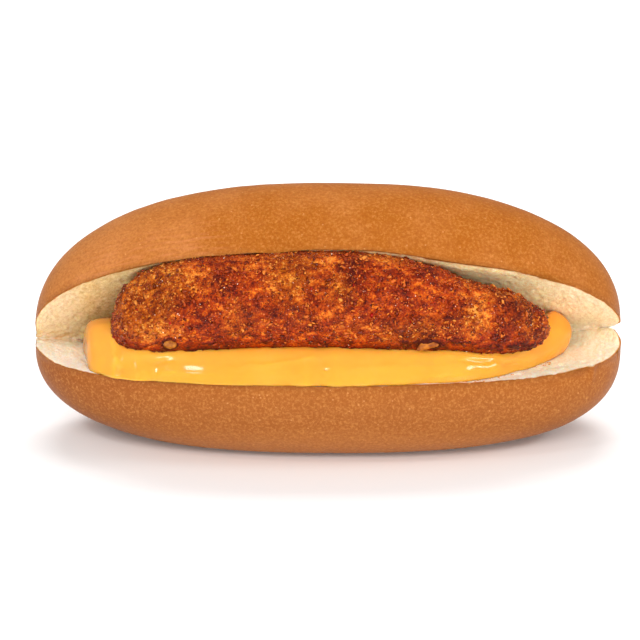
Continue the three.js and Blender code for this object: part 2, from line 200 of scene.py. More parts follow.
def summed_noise(points, layers, first_seed):
    """Soft noises summed, one for each (height, size) in the layers."""
    return sum(height * soft_noise(points, size, first_seed + k) for k, (height, size) in enumerate(layers))


def layered_noise(points, size, seed, layers=4, gain=0.5):
    """Soft noise summed with copies of itself, each half the size and gain times the height."""
    total, height = 0, 1
    for layer in range(layers):
        total = total + height * soft_noise(points, size / 2**layer, seed + layer)
        height *= gain
    return total * (1 - gain) / (1 - gain**layers)


def cell_noise(points, size, seed):
    """Scatters a point in each cube of this size. Gives the distance to the nearest, and its draw."""
    scaled = points / size
    cell = np.floor(scaled)
    nearest = np.full(len(points), np.inf)
    own_draw = np.zeros(len(points))
    for corner in itertools.product((-1, 0, 1), repeat=3):
        cube = cell + corner
        centre = cube + np.stack([lattice(cube, seed + k) for k in range(3)], axis=1)
        distance = np.linalg.norm(scaled - centre, axis=1)
        closer = distance < nearest
        nearest = np.where(closer, distance, nearest)
        own_draw = np.where(closer, lattice(cube, seed + 3), own_draw)
    return nearest, own_draw


# ---------------------------------------------------------------- meshes

PLACES_PER_MM = 1e4  # points closer than one of these are one point


def joined(patches):
    """Points and triangles of grids (rows, columns, 3), each with its side; equal points are joined.

    Each square becomes two triangles. Also gives which of the equal points came first."""
    points, faces, count = [], [], 0
    for grid, flipped in patches:
        rows, columns = grid.shape[:2]
        index = np.arange(rows * columns).reshape(rows, columns) + count
        a, b, c, d = index[:-1, :-1], index[:-1, 1:], index[1:, 1:], index[1:, :-1]
        pair = np.stack([np.stack([a, b, c], -1), np.stack([a, c, d], -1)]).reshape(-1, 3)
        faces.append(pair[:, ::-1] if flipped else pair)
        points.append(grid.reshape(-1, 3))
        count += rows * columns
    points, faces = np.concatenate(points), np.concatenate(faces)
    rounded = np.round(points * PLACES_PER_MM)
    _, first, place = np.unique(rounded, axis=0, return_index=True, return_inverse=True)
    faces = place.reshape(-1)[faces]
    whole = (faces[:, 0] != faces[:, 1]) & (faces[:, 1] != faces[:, 2]) & (faces[:, 2] != faces[:, 0])
    return points[first], faces[whole], first


def closed_grid(grid):
    """A grid whose last column meets its first, and whose end rows each shrink to one point."""
    grid[:, -1] = grid[:, 0]
    grid[0], grid[-1] = grid[0, :1], grid[-1, :1]
    return grid


def area_vectors(points, faces):
    """Each triangle's outward vector, twice its area long: the cross product of two sides."""
    corners = points[faces]
    return np.cross(corners[:, 1] - corners[:, 0], corners[:, 2] - corners[:, 0])


def normals_of(points, faces):
    """Each point's outward direction: the sum of its triangles' area vectors, made one long."""
    area = area_vectors(points, faces)
    total = np.stack(
        [np.bincount(faces.ravel(), np.repeat(area[:, k], 3), len(points)) for k in range(3)], axis=1
    )
    return total / np.maximum(np.linalg.norm(total, axis=1, keepdims=True), 1e-12)


def make_piece(name, node, points, faces, material, **attributes):
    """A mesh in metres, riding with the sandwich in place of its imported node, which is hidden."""
    mesh = bpy.data.meshes.new(name)
    mesh.vertices.add(len(points))
    mesh.vertices.foreach_set("co", np.asarray(points, np.float32).ravel())
    mesh.loops.add(faces.size)
    mesh.loops.foreach_set("vertex_index", faces.astype(np.int32).ravel())
    mesh.polygons.add(len(faces))
    mesh.polygons.foreach_set("loop_start", np.arange(0, faces.size, 3, dtype=np.int32))
    mesh.polygons.foreach_set("use_smooth", np.full(len(faces), True))
    mesh.update(calc_edges=True)
    for key, values in attributes.items():
        layer = mesh.attributes.new(key, "FLOAT", "POINT")
        layer.data.foreach_set("value", np.asarray(values, np.float32))
    mesh.materials.append(material)
    piece = bpy.data.objects.new(name, mesh)
    bpy.context.scene.collection.objects.link(piece)
    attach(piece, "root")
    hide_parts(node)


# ---------------------------------------------------------------- materials

def srgb(red, green, blue):
    """A colour of 0 to 255 values, as the shader's linear ones."""
    share = np.array([red, green, blue]) / 255
    linear = np.where(share <= 0.04045, share / 12.92, ((share + 0.055) / 1.055) ** 2.4)
    return (*linear.tolist(), 1)


# A colour Mix node's sockets are told apart by their numbers, as several have the same name.
MIX_SHARE, MIX_FIRST, MIX_SECOND, MIX_RESULT = 0, 6, 7, 2


class Finish:
    """A material with a Principled shader, and short names for the nodes that feed it."""

    def __init__(self, name):
        self.material = bpy.data.materials.new(name)
        self.material.use_nodes = True
        self.tree = self.material.node_tree
        self.shader = self.tree.nodes["Principled BSDF"]

    def set(self, **values):
        """Sets what is the same all over the surface on the shader's own sockets."""
        for key, value in values.items():
            self.shader.inputs[key.replace("_", " ")].default_value = value

    def link(self, source, target):
        """Joins one node's output to a socket."""
        self.tree.links.new(source, target)

    def feed(self, socket, value):
        """Sets a plain number or colour on a socket, and links anything else to it."""
        if isinstance(value, (int, float, tuple)):
            socket.default_value = value
        else:
            self.link(value, socket)

    def attribute(self, name):
        """The number that the piece's mesh has at each point under this name."""
        node = self.tree.nodes.new("ShaderNodeAttribute")
        node.attribute_name = name
        return node.outputs["Fac"]

    def noise(self, size_mm, detail=3, roughness=0.5, stretch=(1, 1, 1)):
        """Noise of this size on the piece's own metres, from 0 to 1. A stretch below 1 draws it out."""
        place = self.tree.nodes.new("ShaderNodeTexCoord")
        squeeze = self.tree.nodes.new("ShaderNodeMapping")
        squeeze.inputs["Scale"].default_value = stretch
        node = self.tree.nodes.new("ShaderNodeTexNoise")
        node.inputs["Scale"].default_value = 1 / (size_mm * MM)
        node.inputs["Detail"].default_value = detail
        node.inputs["Roughness"].default_value = roughness
        self.link(place.outputs["Object"], squeeze.inputs["Vector"])
        self.link(squeeze.outputs["Vector"], node.inputs["Vector"])
        return node.outputs["Fac"]

    def streaks(self, size_mm, along, across, length):
        """Noise drawn out to this many times its size along one attribute, both in centimetres."""
        place = self.tree.nodes.new("ShaderNodeCombineXYZ")
        self.link(self.math("MULTIPLY", along, 1 / length), place.inputs["X"])
        self.link(across, place.inputs["Y"])
        node = self.tree.nodes.new("ShaderNodeTexNoise")
        node.inputs["Scale"].default_value = MM_PER_CM / size_mm
        node.inputs["Detail"].default_value = 3
        self.link(place.outputs["Vector"], node.inputs["Vector"])
        return node.outputs["Fac"]

    def spots(self, size_mm):
        """The distance from scattered points, in shares of this size."""
        place = self.tree.nodes.new("ShaderNodeTexCoord")
        node = self.tree.nodes.new("ShaderNodeTexVoronoi")
        node.inputs["Scale"].default_value = 1 / (size_mm * MM)
        self.link(place.outputs["Object"], node.inputs["Vector"])
        return node.outputs["Distance"]

    def ramp(self, source, *stops):
        """A colour ramp through (place, colour) stops."""
        node = self.tree.nodes.new("ShaderNodeValToRGB")
        elements = node.color_ramp.elements
        while len(elements) < len(stops):
            elements.new(0.5)
        for element, (place, colour) in zip(elements, stops):
            element.position = place
            element.color = colour
        self.link(source, node.inputs["Fac"])
        return node.outputs["Color"]

    def span(self, source, low, high, out_low=0.0, out_high=1.0):
        """Maps low to high onto out_low to out_high, and holds the ends."""
        node = self.tree.nodes.new("ShaderNodeMapRange")
        self.link(source, node.inputs["Value"])
        for key, value in (("From Min", low), ("From Max", high), ("To Min", out_low), ("To Max", out_high)):
            node.inputs[key].default_value = value
        return node.outputs["Result"]

    def math(self, operation, a, b):
        """The sum or the product of a and b, by the operation's name."""
        node = self.tree.nodes.new("ShaderNodeMath")
        node.operation = operation
        self.feed(node.inputs[0], a)
        self.feed(node.inputs[1], b)
        return node.outputs["Value"]

    def mix(self, share, a, b):
        """Colour a, with this share of b."""
        node = self.tree.nodes.new("ShaderNodeMix")
        node.data_type = "RGBA"
        for socket, value in ((MIX_SHARE, share), (MIX_FIRST, a), (MIX_SECOND, b)):
            self.feed(node.inputs[socket], value)
        return node.outputs[MIX_RESULT]

    def tinted(self, colour, share, most, tint):
        """The colour with the tint mixed in: a share of 1 gives the most of it."""
        return self.mix(self.span(share, 0.0, 1.0, 0.0, most), colour, tint)

    def bump(self, height, depth_mm, strength=1.0, below=None):
        """Shaded relief this deep, on top of the one below."""
        node = self.tree.nodes.new("ShaderNodeBump")
        node.inputs["Distance"].default_value = depth_mm * MM
        node.inputs["Strength"].default_value = strength
        self.link(height, node.inputs["Height"])
        if below is not None:
            self.link(below, node.inputs["Normal"])
        return node.outputs["Normal"]

    def finish(self, colour, roughness=None, normal=None):
        """Links what varies over the surface, and gives the material."""
        for key, source in (("Base Color", colour), ("Roughness", roughness), ("Normal", normal)):
            if source is not None:
                self.link(source, self.shader.inputs[key])
        return self.material


# ---------------------------------------------------------------- the roll's shape

def half_depth(x):
    """Half the shut roll's depth at x: a superellipse seen from above."""
    return ROLL_HALF_DEPTH * bulge(x / ROLL_HALF_LENGTH, PLAN_EXPONENT)


def hinge_at(x):
    """The bottom of the slit at x, measured forward from where it is in the middle of the roll.

    It is behind the roll's middle line by the cube root of two cubes: a share of the half depth,
    and the end cut, which is all that is left at the tips."""
    end_cut = END_CUT["mean"] + END_CUT["right"] * x / ROLL_HALF_LENGTH
    return CENTRE_TO_HINGE - np.cbrt((HINGE_SHARE * half_depth(x)) ** 3 + end_cut**3)


def opening_at(opening, x):
    """The turn of one half at x, in radians: the cube of the way out leads to the tip's turn."""
    share = x / ROLL_HALF_LENGTH
    degrees = lerp(opening["middle"], opening["tip"], np.abs(share) ** 3) + opening["right"] * share
    return np.radians(degrees)


def opened(x, s, h, is_upper):
    """A point of the shut roll, s forward and h up, turns round the hinge with its half.

    The crust behind the hinge bends smoothly from one half's turn to the other's."""
    hinge = hinge_at(x)
    radius = np.hypot(s - hinge, h)
    angle = np.arctan2(h, s - hinge)
    if not is_upper:
        angle = np.where(angle <= 0, angle + 2 * np.pi, angle)
    upper_turn, lower_turn = opening_at(UPPER_OPENING, x), opening_at(LOWER_OPENING, x)
    behind = fade(np.degrees(angle), BACK_FOLD["from"], BACK_FOLD["to"])
    turned = angle + upper_turn - (upper_turn + lower_turn) * behind
    return np.stack([x + ROLL_SHIFT_X, hinge + radius * np.cos(turned), radius * np.sin(turned)], axis=-1)


def outline_at(turn, share, is_upper):
    """A superellipse, the roll's outline from above: turn 0 is its right end, a quarter turn its front."""
    power = 2 / PLAN_EXPONENT
    forward = signed_power(np.sin(turn), power)
    reach = ROLL_HALF_DEPTH + (0 if is_upper else LOWER_LIP_REACH) * np.maximum(forward, 0)
    x = ROLL_HALF_LENGTH * share * signed_power(np.cos(turn), power)
    return x, CENTRE_TO_HINGE + reach * share * forward


FARTHEST_EXIT, HALVINGS = 0.6, 50


def slit_exit(side):
    """The turn where the slit comes out behind the tip on one side, 1 right and -1 left, by halving."""
    near, far = 0.0, FARTHEST_EXIT
    for _ in range(HALVINGS):
        middle = (near + far) / 2
        x, s = outline_at(-middle, 1, True)
        near, far = (middle, far) if s > hinge_at(side * x) else (near, middle)
    return near


def tipped_up(slit_points):
    """Turns the slit frame by its rise, to millimetres across, back and up from the table."""
    x, w, v = np.moveaxis(np.asarray(slit_points, float), -1, 0)
    y = -w * math.cos(SLIT_RISE) + v * math.sin(SLIT_RISE)
    z = HINGE_HEIGHT + w * math.sin(SLIT_RISE) + v * math.cos(SLIT_RISE)
    return np.stack([x, y, z], axis=-1)


def on_table(slit_points):
    """The same, with the base pressed flat at z = 0."""
    placed = tipped_up(slit_points)
    placed[..., 2] = soft_max(placed[..., 2], 0, 2 * BASE_ROUNDING)
    return placed


def cutlet_section(x):
    """The cutlet's middle line and half sizes at x: superellipse ends on an arched line, and a dent.

    The line drops by a power of the way out, and goes back by its square."""
    t = np.clip((x - CUTLET_SHIFT_X) / CUTLET_HALF_LENGTH, -1, 1)
    left, right = CUTLET_ARCH["left"], CUTLET_ARCH["right"]
    drop = np.where(
        t < 0, left["drop"] * np.abs(t) ** left["power"], right["drop"] * np.abs(t) ** right["power"]
    )
    size = np.where(t < 0, bulge(t, CUTLET_ENDS["left"]), bulge(t, CUTLET_ENDS["right"]))
    dent = CUTLET_DENT["depth"] / 2 * hump(x, CUTLET_DENT["x"], CUTLET_DENT["width"])
    return (
        CUTLET_MIDDLE["w"] - CUTLET_END_BACK * t * t,
        CUTLET_MIDDLE["v"] - drop - dent,
        CUTLET_HALF_WIDTH * size,
        (CUTLET_HALF_HEIGHT - dent) * size,
    )


def cutlet_side(x, w, side, margin):
    """The height of the cutlet's top (side 1) or bottom (-1) over a point, margin outside it."""
    shrink = CUTLET_HALF_LENGTH / (CUTLET_HALF_LENGTH + margin)
    inner_x = CUTLET_SHIFT_X + (x - CUTLET_SHIFT_X) * shrink
    middle_w, middle_v, half_width, half_height = cutlet_section(inner_x)
    across = (w - middle_w) / np.maximum(half_width + margin, 0.1 * CUTLET_TIP_WIDTH)
    height = middle_v + side * (half_height + margin) * bulge(across, CUTLET_SECTION_EXPONENT)
    clear = (half_width < CUTLET_TIP_WIDTH) | (np.abs(across) >= 1)
    return np.where(clear, -side * np.inf, height)


FRONT_TURNS, BACK_TURNS, RINGS, FACE_ROWS = 290, 64, 54, 98
exit_right, exit_left = -slit_exit(1), math.pi + slit_exit(-1)
exit_x = [outline_at(turn, 1, True)[0] for turn in (exit_right, exit_left)]
front_turns = np.linspace(exit_right, exit_left, FRONT_TURNS + 1)
back_turns = np.linspace(exit_left, exit_right + 2 * math.pi, BACK_TURNS + 1)
all_turns = np.concatenate([front_turns, back_turns[1:]])


def hinge_point(x):
    """The bottom of the slit at x, as a point of the slit frame."""
    return np.stack([x + ROLL_SHIFT_X, hinge_at(x), np.zeros_like(x)], axis=-1)


def swell_ends(points):
    """Torn crumb pushes the roll's ends outwards round the two places where the slit comes out."""
    swollen = points.copy()
    for reach, exit_place in ((END_SWELL["right"], exit_x[0]), (-END_SWELL["left"], exit_x[1])):
        away = np.linalg.norm(points - hinge_point(np.array(exit_place)), axis=1) / END_SWELL["round"]
        swollen[:, 0] += reach * np.exp(-away * away / 2)
    return swollen


def held_up(points):
    """The cutlet holds the upper half of the bread up where it would sink in."""
    top = cutlet_side(points[..., 0], points[..., 1], 1, BREAD_OVER_CUTLET)
    return np.stack([points[..., 0], points[..., 1], soft_max(points[..., 2], top, HOLLOW_EDGE)], axis=-1)


def lip(is_upper):
    """The cut's edge on one half, in front. The two lips meet where the slit comes out."""
    x, s = outline_at(front_turns, 1, is_upper)
    edge = opened(x, s, JUST_OFF_CUT if is_upper else -JUST_OFF_CUT, is_upper)
    if is_upper:
        edge = held_up(edge)
    edge[[0, -1]] = hinge_point(np.array(exit_x))
    return edge


def crust(dome, is_upper):
    """Rings of the outline, from the middle of the dome out to the lip and the uncut back.

    The dome's height is a superellipse of the share out, which is the sine of even steps."""
    share = np.sin(np.linspace(0, math.pi / 2, RINGS + 1))[:, None]
    exponent = dome["exponent"] + dome["right"] * np.maximum(np.cos(all_turns), 0)[None, :]
    height = (1 if is_upper else -1) * dome["height"] * bulge(share, exponent)
    x, s = outline_at(all_turns[None, :], share, is_upper)
    rows = opened(x, s, height, is_upper)
    x, s = outline_at(all_turns, 1, True)
    rows[-1] = opened(x, s, np.zeros_like(x), True)
    rows[-1, : FRONT_TURNS + 1] = lip(is_upper)
    rows[-1, -1] = rows[-1, 0]
    return rows


def cut_face(is_upper):
    """Straight lines from the hinge to the lip, and on the upper half the hollow over the cutlet."""
    across = (1 + np.cos(np.linspace(0, math.pi, FRONT_TURNS + 1))) / 2
    hinge_x = lerp(exit_x[1], exit_x[0], across)
    lip_x, lip_s = outline_at(front_turns, 1, is_upper)
    out = np.linspace(0, 1, FACE_ROWS + 1)[:, None]
    x = lerp(hinge_x, lip_x, out)
    s = lerp(hinge_at(hinge_x), lip_s, out)
    rows = opened(x, s, np.full_like(x, JUST_OFF_CUT if is_upper else -JUST_OFF_CUT), is_upper)
    if is_upper:
        rows = held_up(rows)
    rows[0] = hinge_point(hinge_x)
    rows[-1] = lip(is_upper)
    rows[:, 0], rows[:, -1] = rows[-1, 0], rows[-1, -1]
    return rows


roll_patches = [
    (crust(UPPER_DOME, True), False),
    (crust(LOWER_DOME, False), True),
    (cut_face(True), False),
    (cut_face(False), True),
]
roll_points, roll_faces, roll_first = joined(roll_patches)
roll_points = swell_ends(roll_points)

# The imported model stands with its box's middle over the origin; this one is set on the same box.
stood = on_table(roll_points)
low, high = (np.array(corner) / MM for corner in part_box("roll"))
table_shift = (low + high - stood.min(axis=0) - stood.max(axis=0)) / 2 * np.array([1, 1, 0])


def to_table(slit_points):
    """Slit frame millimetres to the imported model's metres."""
    return (on_table(slit_points) + table_shift) * MM


# ---------------------------------------------------------------- the roll

def roll_marks():
    """For each point: millimetres in from the lip, below 0 on the crust, and 1 on the lower half.

    The torn ends that the crust was pushed off are crumb too, but hardly any of the back."""
    inward, lower = [], []
    for (grid, _), is_face, is_lower in zip(roll_patches, (False, False, True, True), (0, 1, 0, 1)):
        distance = np.linalg.norm(grid - grid[-1:], axis=-1).ravel()
        inward.append(distance if is_face else -LIP_TO_CRUST - distance)
        lower.append(np.full(distance.shape, float(is_lower)))
    inward, lower = np.concatenate(inward)[roll_first], np.concatenate(lower)[roll_first]
    for exit_place, above in zip(exit_x, (TORN_ENDS["right_above"], TORN_ENDS["elsewhere"])):
        offset = roll_points - hinge_point(np.array(exit_place))
        behind = np.maximum(-offset[:, 1], 0)
        away = np.linalg.norm(offset, axis=1) + TORN_ENDS["shorter_behind"] * behind
        inward = np.maximum(inward, np.where(offset[:, 2] > 0, above, TORN_ENDS["elsewhere"]) - away)
    return inward, lower


def slit_depth(points):
    """How far each point lies in front of the bottom of the slit."""
    return np.hypot(points[:, 1] - hinge_at(points[:, 0] - ROLL_SHIFT_X), points[:, 2])


def crumb_relief(p):
    """Soft open crumb, drawn out from the lip to the hinge: low lumps, and pits at scattered points."""
    drawn_out = p * CRUMB_DRAWN_OUT
    near, own = cell_noise(drawn_out, CRUMB_PITS["size"], 11)
    fine, _ = cell_noise(drawn_out, FINE_PITS["size"], 15)
    pits = CRUMB_PITS["depth"] * own**2 * fade(near, *CRUMB_PITS["wall"])
    fine_pits = FINE_PITS["depth"] * fade(fine, *FINE_PITS["wall"])
    lumps = soft_noise(drawn_out, CRUMB_LUMPS["size"], 12)
    lumps += layered_noise(drawn_out, CRUMB_LUMPS["small_size"], 13, layers=3)
    return CRUMB_LUMPS["height"] * lumps - pits - fine_pits


def tear_relief(p, depth):
    """Where the slit's bottom was torn, the crumb stands up in rough shreds: noise without its sign."""
    rough = layered_noise(p * np.array([0.5, 1, 1]), TEAR["size"], 18, layers=3)
    return TEAR["height"] * np.abs(rough) * fade(depth, *TEAR["depth"])


def tear_line(p, depth):
    """The torn bottom of the slit wanders up and down as it runs along the roll."""
    along = p * np.array([1, 0, 0])
    wander = summed_noise(along, TEAR_WANDER, 66)
    return wander * hump(depth, 0, TEAR_REACH) * fade(np.abs(p[:, 0]), *TEAR_ENDS)


def end_lift(p, depth):
    """The slit comes out higher at the right end and lower at the left."""
    right = END_LIFT["right"] * fade(p[:, 0], *END_LIFT["right_x"])
    left = END_LIFT["left"] * fade(p[:, 0], *END_LIFT["left_x"])
    return hump(depth, 0, END_LIFT["reach"]) * (right + left)


def lip_rise(p, inward):
    """The upper lip flares up off the cutlet, right of the middle, and sags where the cutlet tapers."""
    x, _, v = p.T
    flared = fade(x, *LIP_FLARE["left_x"]) * fade(x, *LIP_FLARE["right_x"])
    flare = LIP_FLARE["height"] * flared * hump(inward, 0, LIP_FLARE["reach"])
    sag = LIP_SAG["depth"] * hump(x, LIP_SAG["x"], LIP_SAG["width"]) * hump(inward, 0, LIP_SAG["reach"])
    return (flare - sag) * (v > 0)


def nick_relief(p, inward):
    """A short crease that runs down the lower crust from the lip, near the right end."""
    down = fade(inward, -NICK["length"], 0) * (inward < 0.5) * (p[:, 2] < 0)
    return -NICK["depth"] * hump(p[:, 0], NICK["x"], NICK["width"]) * down


def lip_wobble(p, inward):
    """The lips aren't cut quite straight."""
    return fade(np.abs(inward), *LIP_WOBBLE_REACH) * summed_noise(p, LIP_WOBBLE, 16)


def build_roll():
    """Relief along each point's normal, down to none at the flat base, and the lips' and tears' lifts."""
    inward, lower = roll_marks()
    depth = slit_depth(roll_points)
    is_crumb = fade(inward, *CRUMB_EDGE)
    baked = summed_noise(roll_points, CRUST_SWELLS, 1)
    crumb = crumb_relief(roll_points) + tear_relief(roll_points, depth)
    relief = lerp(baked, crumb, is_crumb)
    relief += lip_wobble(roll_points, inward) + nick_relief(roll_points, inward)
    relief *= fade(on_table(roll_points)[:, 2], *RELIEF_ABOVE_BASE)
    points = roll_points + normals_of(roll_points, roll_faces) * relief[:, None]
    points[:, 2] += tear_line(roll_points, depth) * is_crumb + lip_rise(roll_points, inward)
    points[:, 2] += end_lift(roll_points, depth)
    shades = bread_shades(inward, lower, depth)
    make_piece("soft_roll", "roll", to_table(points), roll_faces, bread(), **shades)


# Where the bread's looks set in and are full: along x, up v, out from the hinge or in from the lip.
TORN = {"depth": (6, 1), "x": (20, -40)}
# Painted shade darkens the lower crust downwards; painted light from the table lightens its foot.
PAINTED_SHADE_V, PAINTED_BOUNCE_V = (0, -24), (-24, -32)
# Painted light and shade on the crust: paler at the upper left, darker at the lower left and lower down.
# Only the mottle is the crust's own.
CRUST_TAN_AND_PAINTED_LIGHT = {
    "left_x": (-20, -70), "below_v": (0, -14), "above_v": (0, 14),
    "left_below_painted_shade": 0.75, "left_above_painted_light": 0.6, "below": 0.2, "mottle": 0.1, "mottle_size": 30,
}
# Painted light and shade on the crumb: white where lit, tan where the upper half is shaded.
PAINTED_CRUMB_LIGHT = {
    "upper": 0.12, "right": 0.3, "right_x": (42, 70), "left_tip": 0.25, "left_tip_x": (-66, -74),
    "blend_left": 3, "blend_right": 12, "blend_x": (0, 60),
}
# Painted light, warmer in colour, in the crumb's shade over the cutlet and a little on the lower half.
PAINTED_WARM_ABOVE = {"v": (0, 6), "left_x": (-20, 5), "right_x": (74, 54)}
PAINTED_WARM_BELOW = {"share": 0.4, "v": (2, -2), "x": (45, 60)}
CREASED = {"right_x": (-22, -36), "left_x": (-76, -64), "inward": (-16, -4)}


def bread_shades(inward, lower, depth):
    """What the bread's colours follow at each point: two lengths in centimetres, and shares."""
    x, _, v = roll_points.T
    return {
        "inside": inward / MM_PER_CM,
        "along": x / MM_PER_CM,
        # painted light and shade on the crumb
        "white": painted_crumb_lightness(x, lower, depth),
        # painted light in the crumb's shade
        "painted_warm_light": painted_warm_crumb_light(x, v),
        "torn": fade(depth, *TORN["depth"]) * fade(x, *TORN["x"]),
        # painted shade on the lower crust, and painted table light at its foot
        "painted_shade_lower_crust": fade(v, *PAINTED_SHADE_V),
        "base": fade(v, *PAINTED_BOUNCE_V),
        # painted light and shade, with the crust's own mottle
        "tan": crust_painted_light_and_shade(x, v) + CRUST_TAN_AND_PAINTED_LIGHT["mottle"] * soft_noise(roll_points, CRUST_TAN_AND_PAINTED_LIGHT["mottle_size"], 70),
        "creased": lip_creases(x, v, inward),
    }


def crust_painted_light_and_shade(x, v):
    """How brown the crust is painted, from -1 to 1: paler at the upper left as painted light, darker at the
    lower left and lower down as painted shade.
    """
    left, below, above = fade(x, *CRUST_TAN_AND_PAINTED_LIGHT["left_x"]), fade(v, *CRUST_TAN_AND_PAINTED_LIGHT["below_v"]), fade(v, *CRUST_TAN_AND_PAINTED_LIGHT["above_v"])
    return CRUST_TAN_AND_PAINTED_LIGHT["left_below_painted_shade"] * left * below - CRUST_TAN_AND_PAINTED_LIGHT["left_above_painted_light"] * left * above + CRUST_TAN_AND_PAINTED_LIGHT["below"] * below


def painted_crumb_lightness(x, lower, depth):
    """How white the crumb is painted, as painted light against painted shade: most on the lower half and
    least at the upper left.

    The two halves' shares blend near the bottom of the slit, further out at the right."""
    right, left_tip = fade(x, *PAINTED_CRUMB_LIGHT["right_x"]), fade(x, *PAINTED_CRUMB_LIGHT["left_tip_x"])
    upper = PAINTED_CRUMB_LIGHT["upper"] + PAINTED_CRUMB_LIGHT["right"] * right + PAINTED_CRUMB_LIGHT["left_tip"] * left_tip
    reach = lerp(PAINTED_CRUMB_LIGHT["blend_left"], PAINTED_CRUMB_LIGHT["blend_right"], fade(x, *PAINTED_CRUMB_LIGHT["blend_x"]))
    return lerp(upper, 1, 0.5 + (lower - 0.5) * fade(depth, 0, reach))


def painted_warm_crumb_light(x, v):
    """The crumb is painted warmer and lighter on the right, as painted light in its shade: over the cutlet,
    and a little on the lower half.
    """
    above = fade(v, *PAINTED_WARM_ABOVE["v"]) * fade(x, *PAINTED_WARM_ABOVE["left_x"]) * fade(x, *PAINTED_WARM_ABOVE["right_x"])
    return above + PAINTED_WARM_BELOW["share"] * fade(v, *PAINTED_WARM_BELOW["v"]) * fade(x, *PAINTED_WARM_BELOW["x"])


def lip_creases(x, v, inward):
    """Where the crust is finely creased: over the upper lip, on the left."""
    along = fade(x, *CREASED["right_x"]) * fade(x, *CREASED["left_x"])
    return along * fade(inward, *CREASED["inward"]) * (v > 0) * (inward < 0)


CRUST_BROWNS = ((0.1, srgb(138, 72, 22)), (0.45, srgb(159, 89, 25)), (0.85, srgb(183, 115, 60)))
LOWER_CRUST_PAINTED_SHADE, CRUST_PAINTED_BOUNCE = srgb(144, 86, 42), srgb(174, 110, 56)
DARK_GRAIN, LIGHT_GRAIN = srgb(128, 62, 16), srgb(200, 134, 68)
# The pale crease colour is a painted sheen.
PALE_SPECK, PAINTED_CREASE_SHEEN = srgb(210, 150, 90), srgb(206, 132, 86)
CUT_EDGE, SLIT_BOTTOM_OCHRE = srgb(190, 122, 42), srgb(212, 162, 84)

# The crumb's colours: in its pores, and between them. Tan is painted shade; the last pair is painted light,
# warmer in colour.
CRUMB_IN_PAINTED_SHADE = srgb(206, 162, 82), srgb(240, 208, 136)
WHITE_CRUMB = srgb(255, 236, 208), srgb(255, 252, 240)
# Painted light, warmer in colour, for the crumb's shaded right.
CRUMB_PAINTED_WARM_LIGHT = srgb(252, 204, 138), srgb(255, 238, 184)


def crust_colour(finish, creases):
    """Golden-brown skin: mottled, grained and specked, painted darker on the lower half as shade, painted
    lighter at the foot as light thrown up from the table, and with a painted sheen in its creases.
    """
    mottle = finish.span(finish.noise(size_mm=14, detail=4), 0.3, 0.7, -0.1, 0.1)
    # Painted light and shade steer the brown, with the crust's own mottle.
    brown = finish.math("ADD", finish.span(finish.attribute("tan"), -1.0, 1.0, 0.9, 0.1), mottle)
    skin = finish.ramp(brown, *CRUST_BROWNS)
    # Painted shade on the lower crust, then painted light from the table at its foot.
    skin = finish.tinted(skin, finish.attribute("painted_shade_lower_crust"), 0.75, LOWER_CRUST_PAINTED_SHADE)
    skin = finish.tinted(skin, finish.attribute("base"), 0.7, CRUST_PAINTED_BOUNCE)
    grain = finish.noise(size_mm=0.8, roughness=0.75)
    skin = finish.mix(finish.span(grain, 0.35, 0.5, 0.35, 0.0), skin, DARK_GRAIN)
    skin = finish.mix(finish.span(grain, 0.5, 0.7, 0.0, 0.5), skin, LIGHT_GRAIN)
    skin = finish.mix(finish.span(finish.spots(size_mm=3.1), 0.05, 0.1, 0.5, 0.0), skin, PALE_SPECK)
    # A painted sheen along the crease streaks.
    return finish.tinted(skin, creases, 0.35, PAINTED_CREASE_SHEEN)


def crumb_colour(finish, open_crumb):
    """Pale porous crumb: tan as painted shade to white where lit, in darker ochre shreds along the slit's
    bottom, and warmer on the right as painted light.
    """
    pores = finish.span(open_crumb, 0.34, 0.6)
    tan, white, painted_warm_light = (finish.mix(pores, *shades) for shades in (CRUMB_IN_PAINTED_SHADE, WHITE_CRUMB, CRUMB_PAINTED_WARM_LIGHT))
    # The upper half's tan is painted shade.
    crumb = finish.mix(finish.attribute("white"), tan, white)
    ragged = finish.span(finish.noise(size_mm=1.8, stretch=(0.4, 1, 1)), 0.4, 0.65)
    shreds = finish.math("MULTIPLY", finish.attribute("torn"), ragged)
    # Darker ochre shreds along the bottom of the slit, on the left.
    crumb = finish.tinted(crumb, shreds, 0.75, SLIT_BOTTOM_OCHRE)
    # Painted light lifts the crumb's shade on the right.
    return finish.tinted(crumb, finish.attribute("painted_warm_light"), 0.85, painted_warm_light)


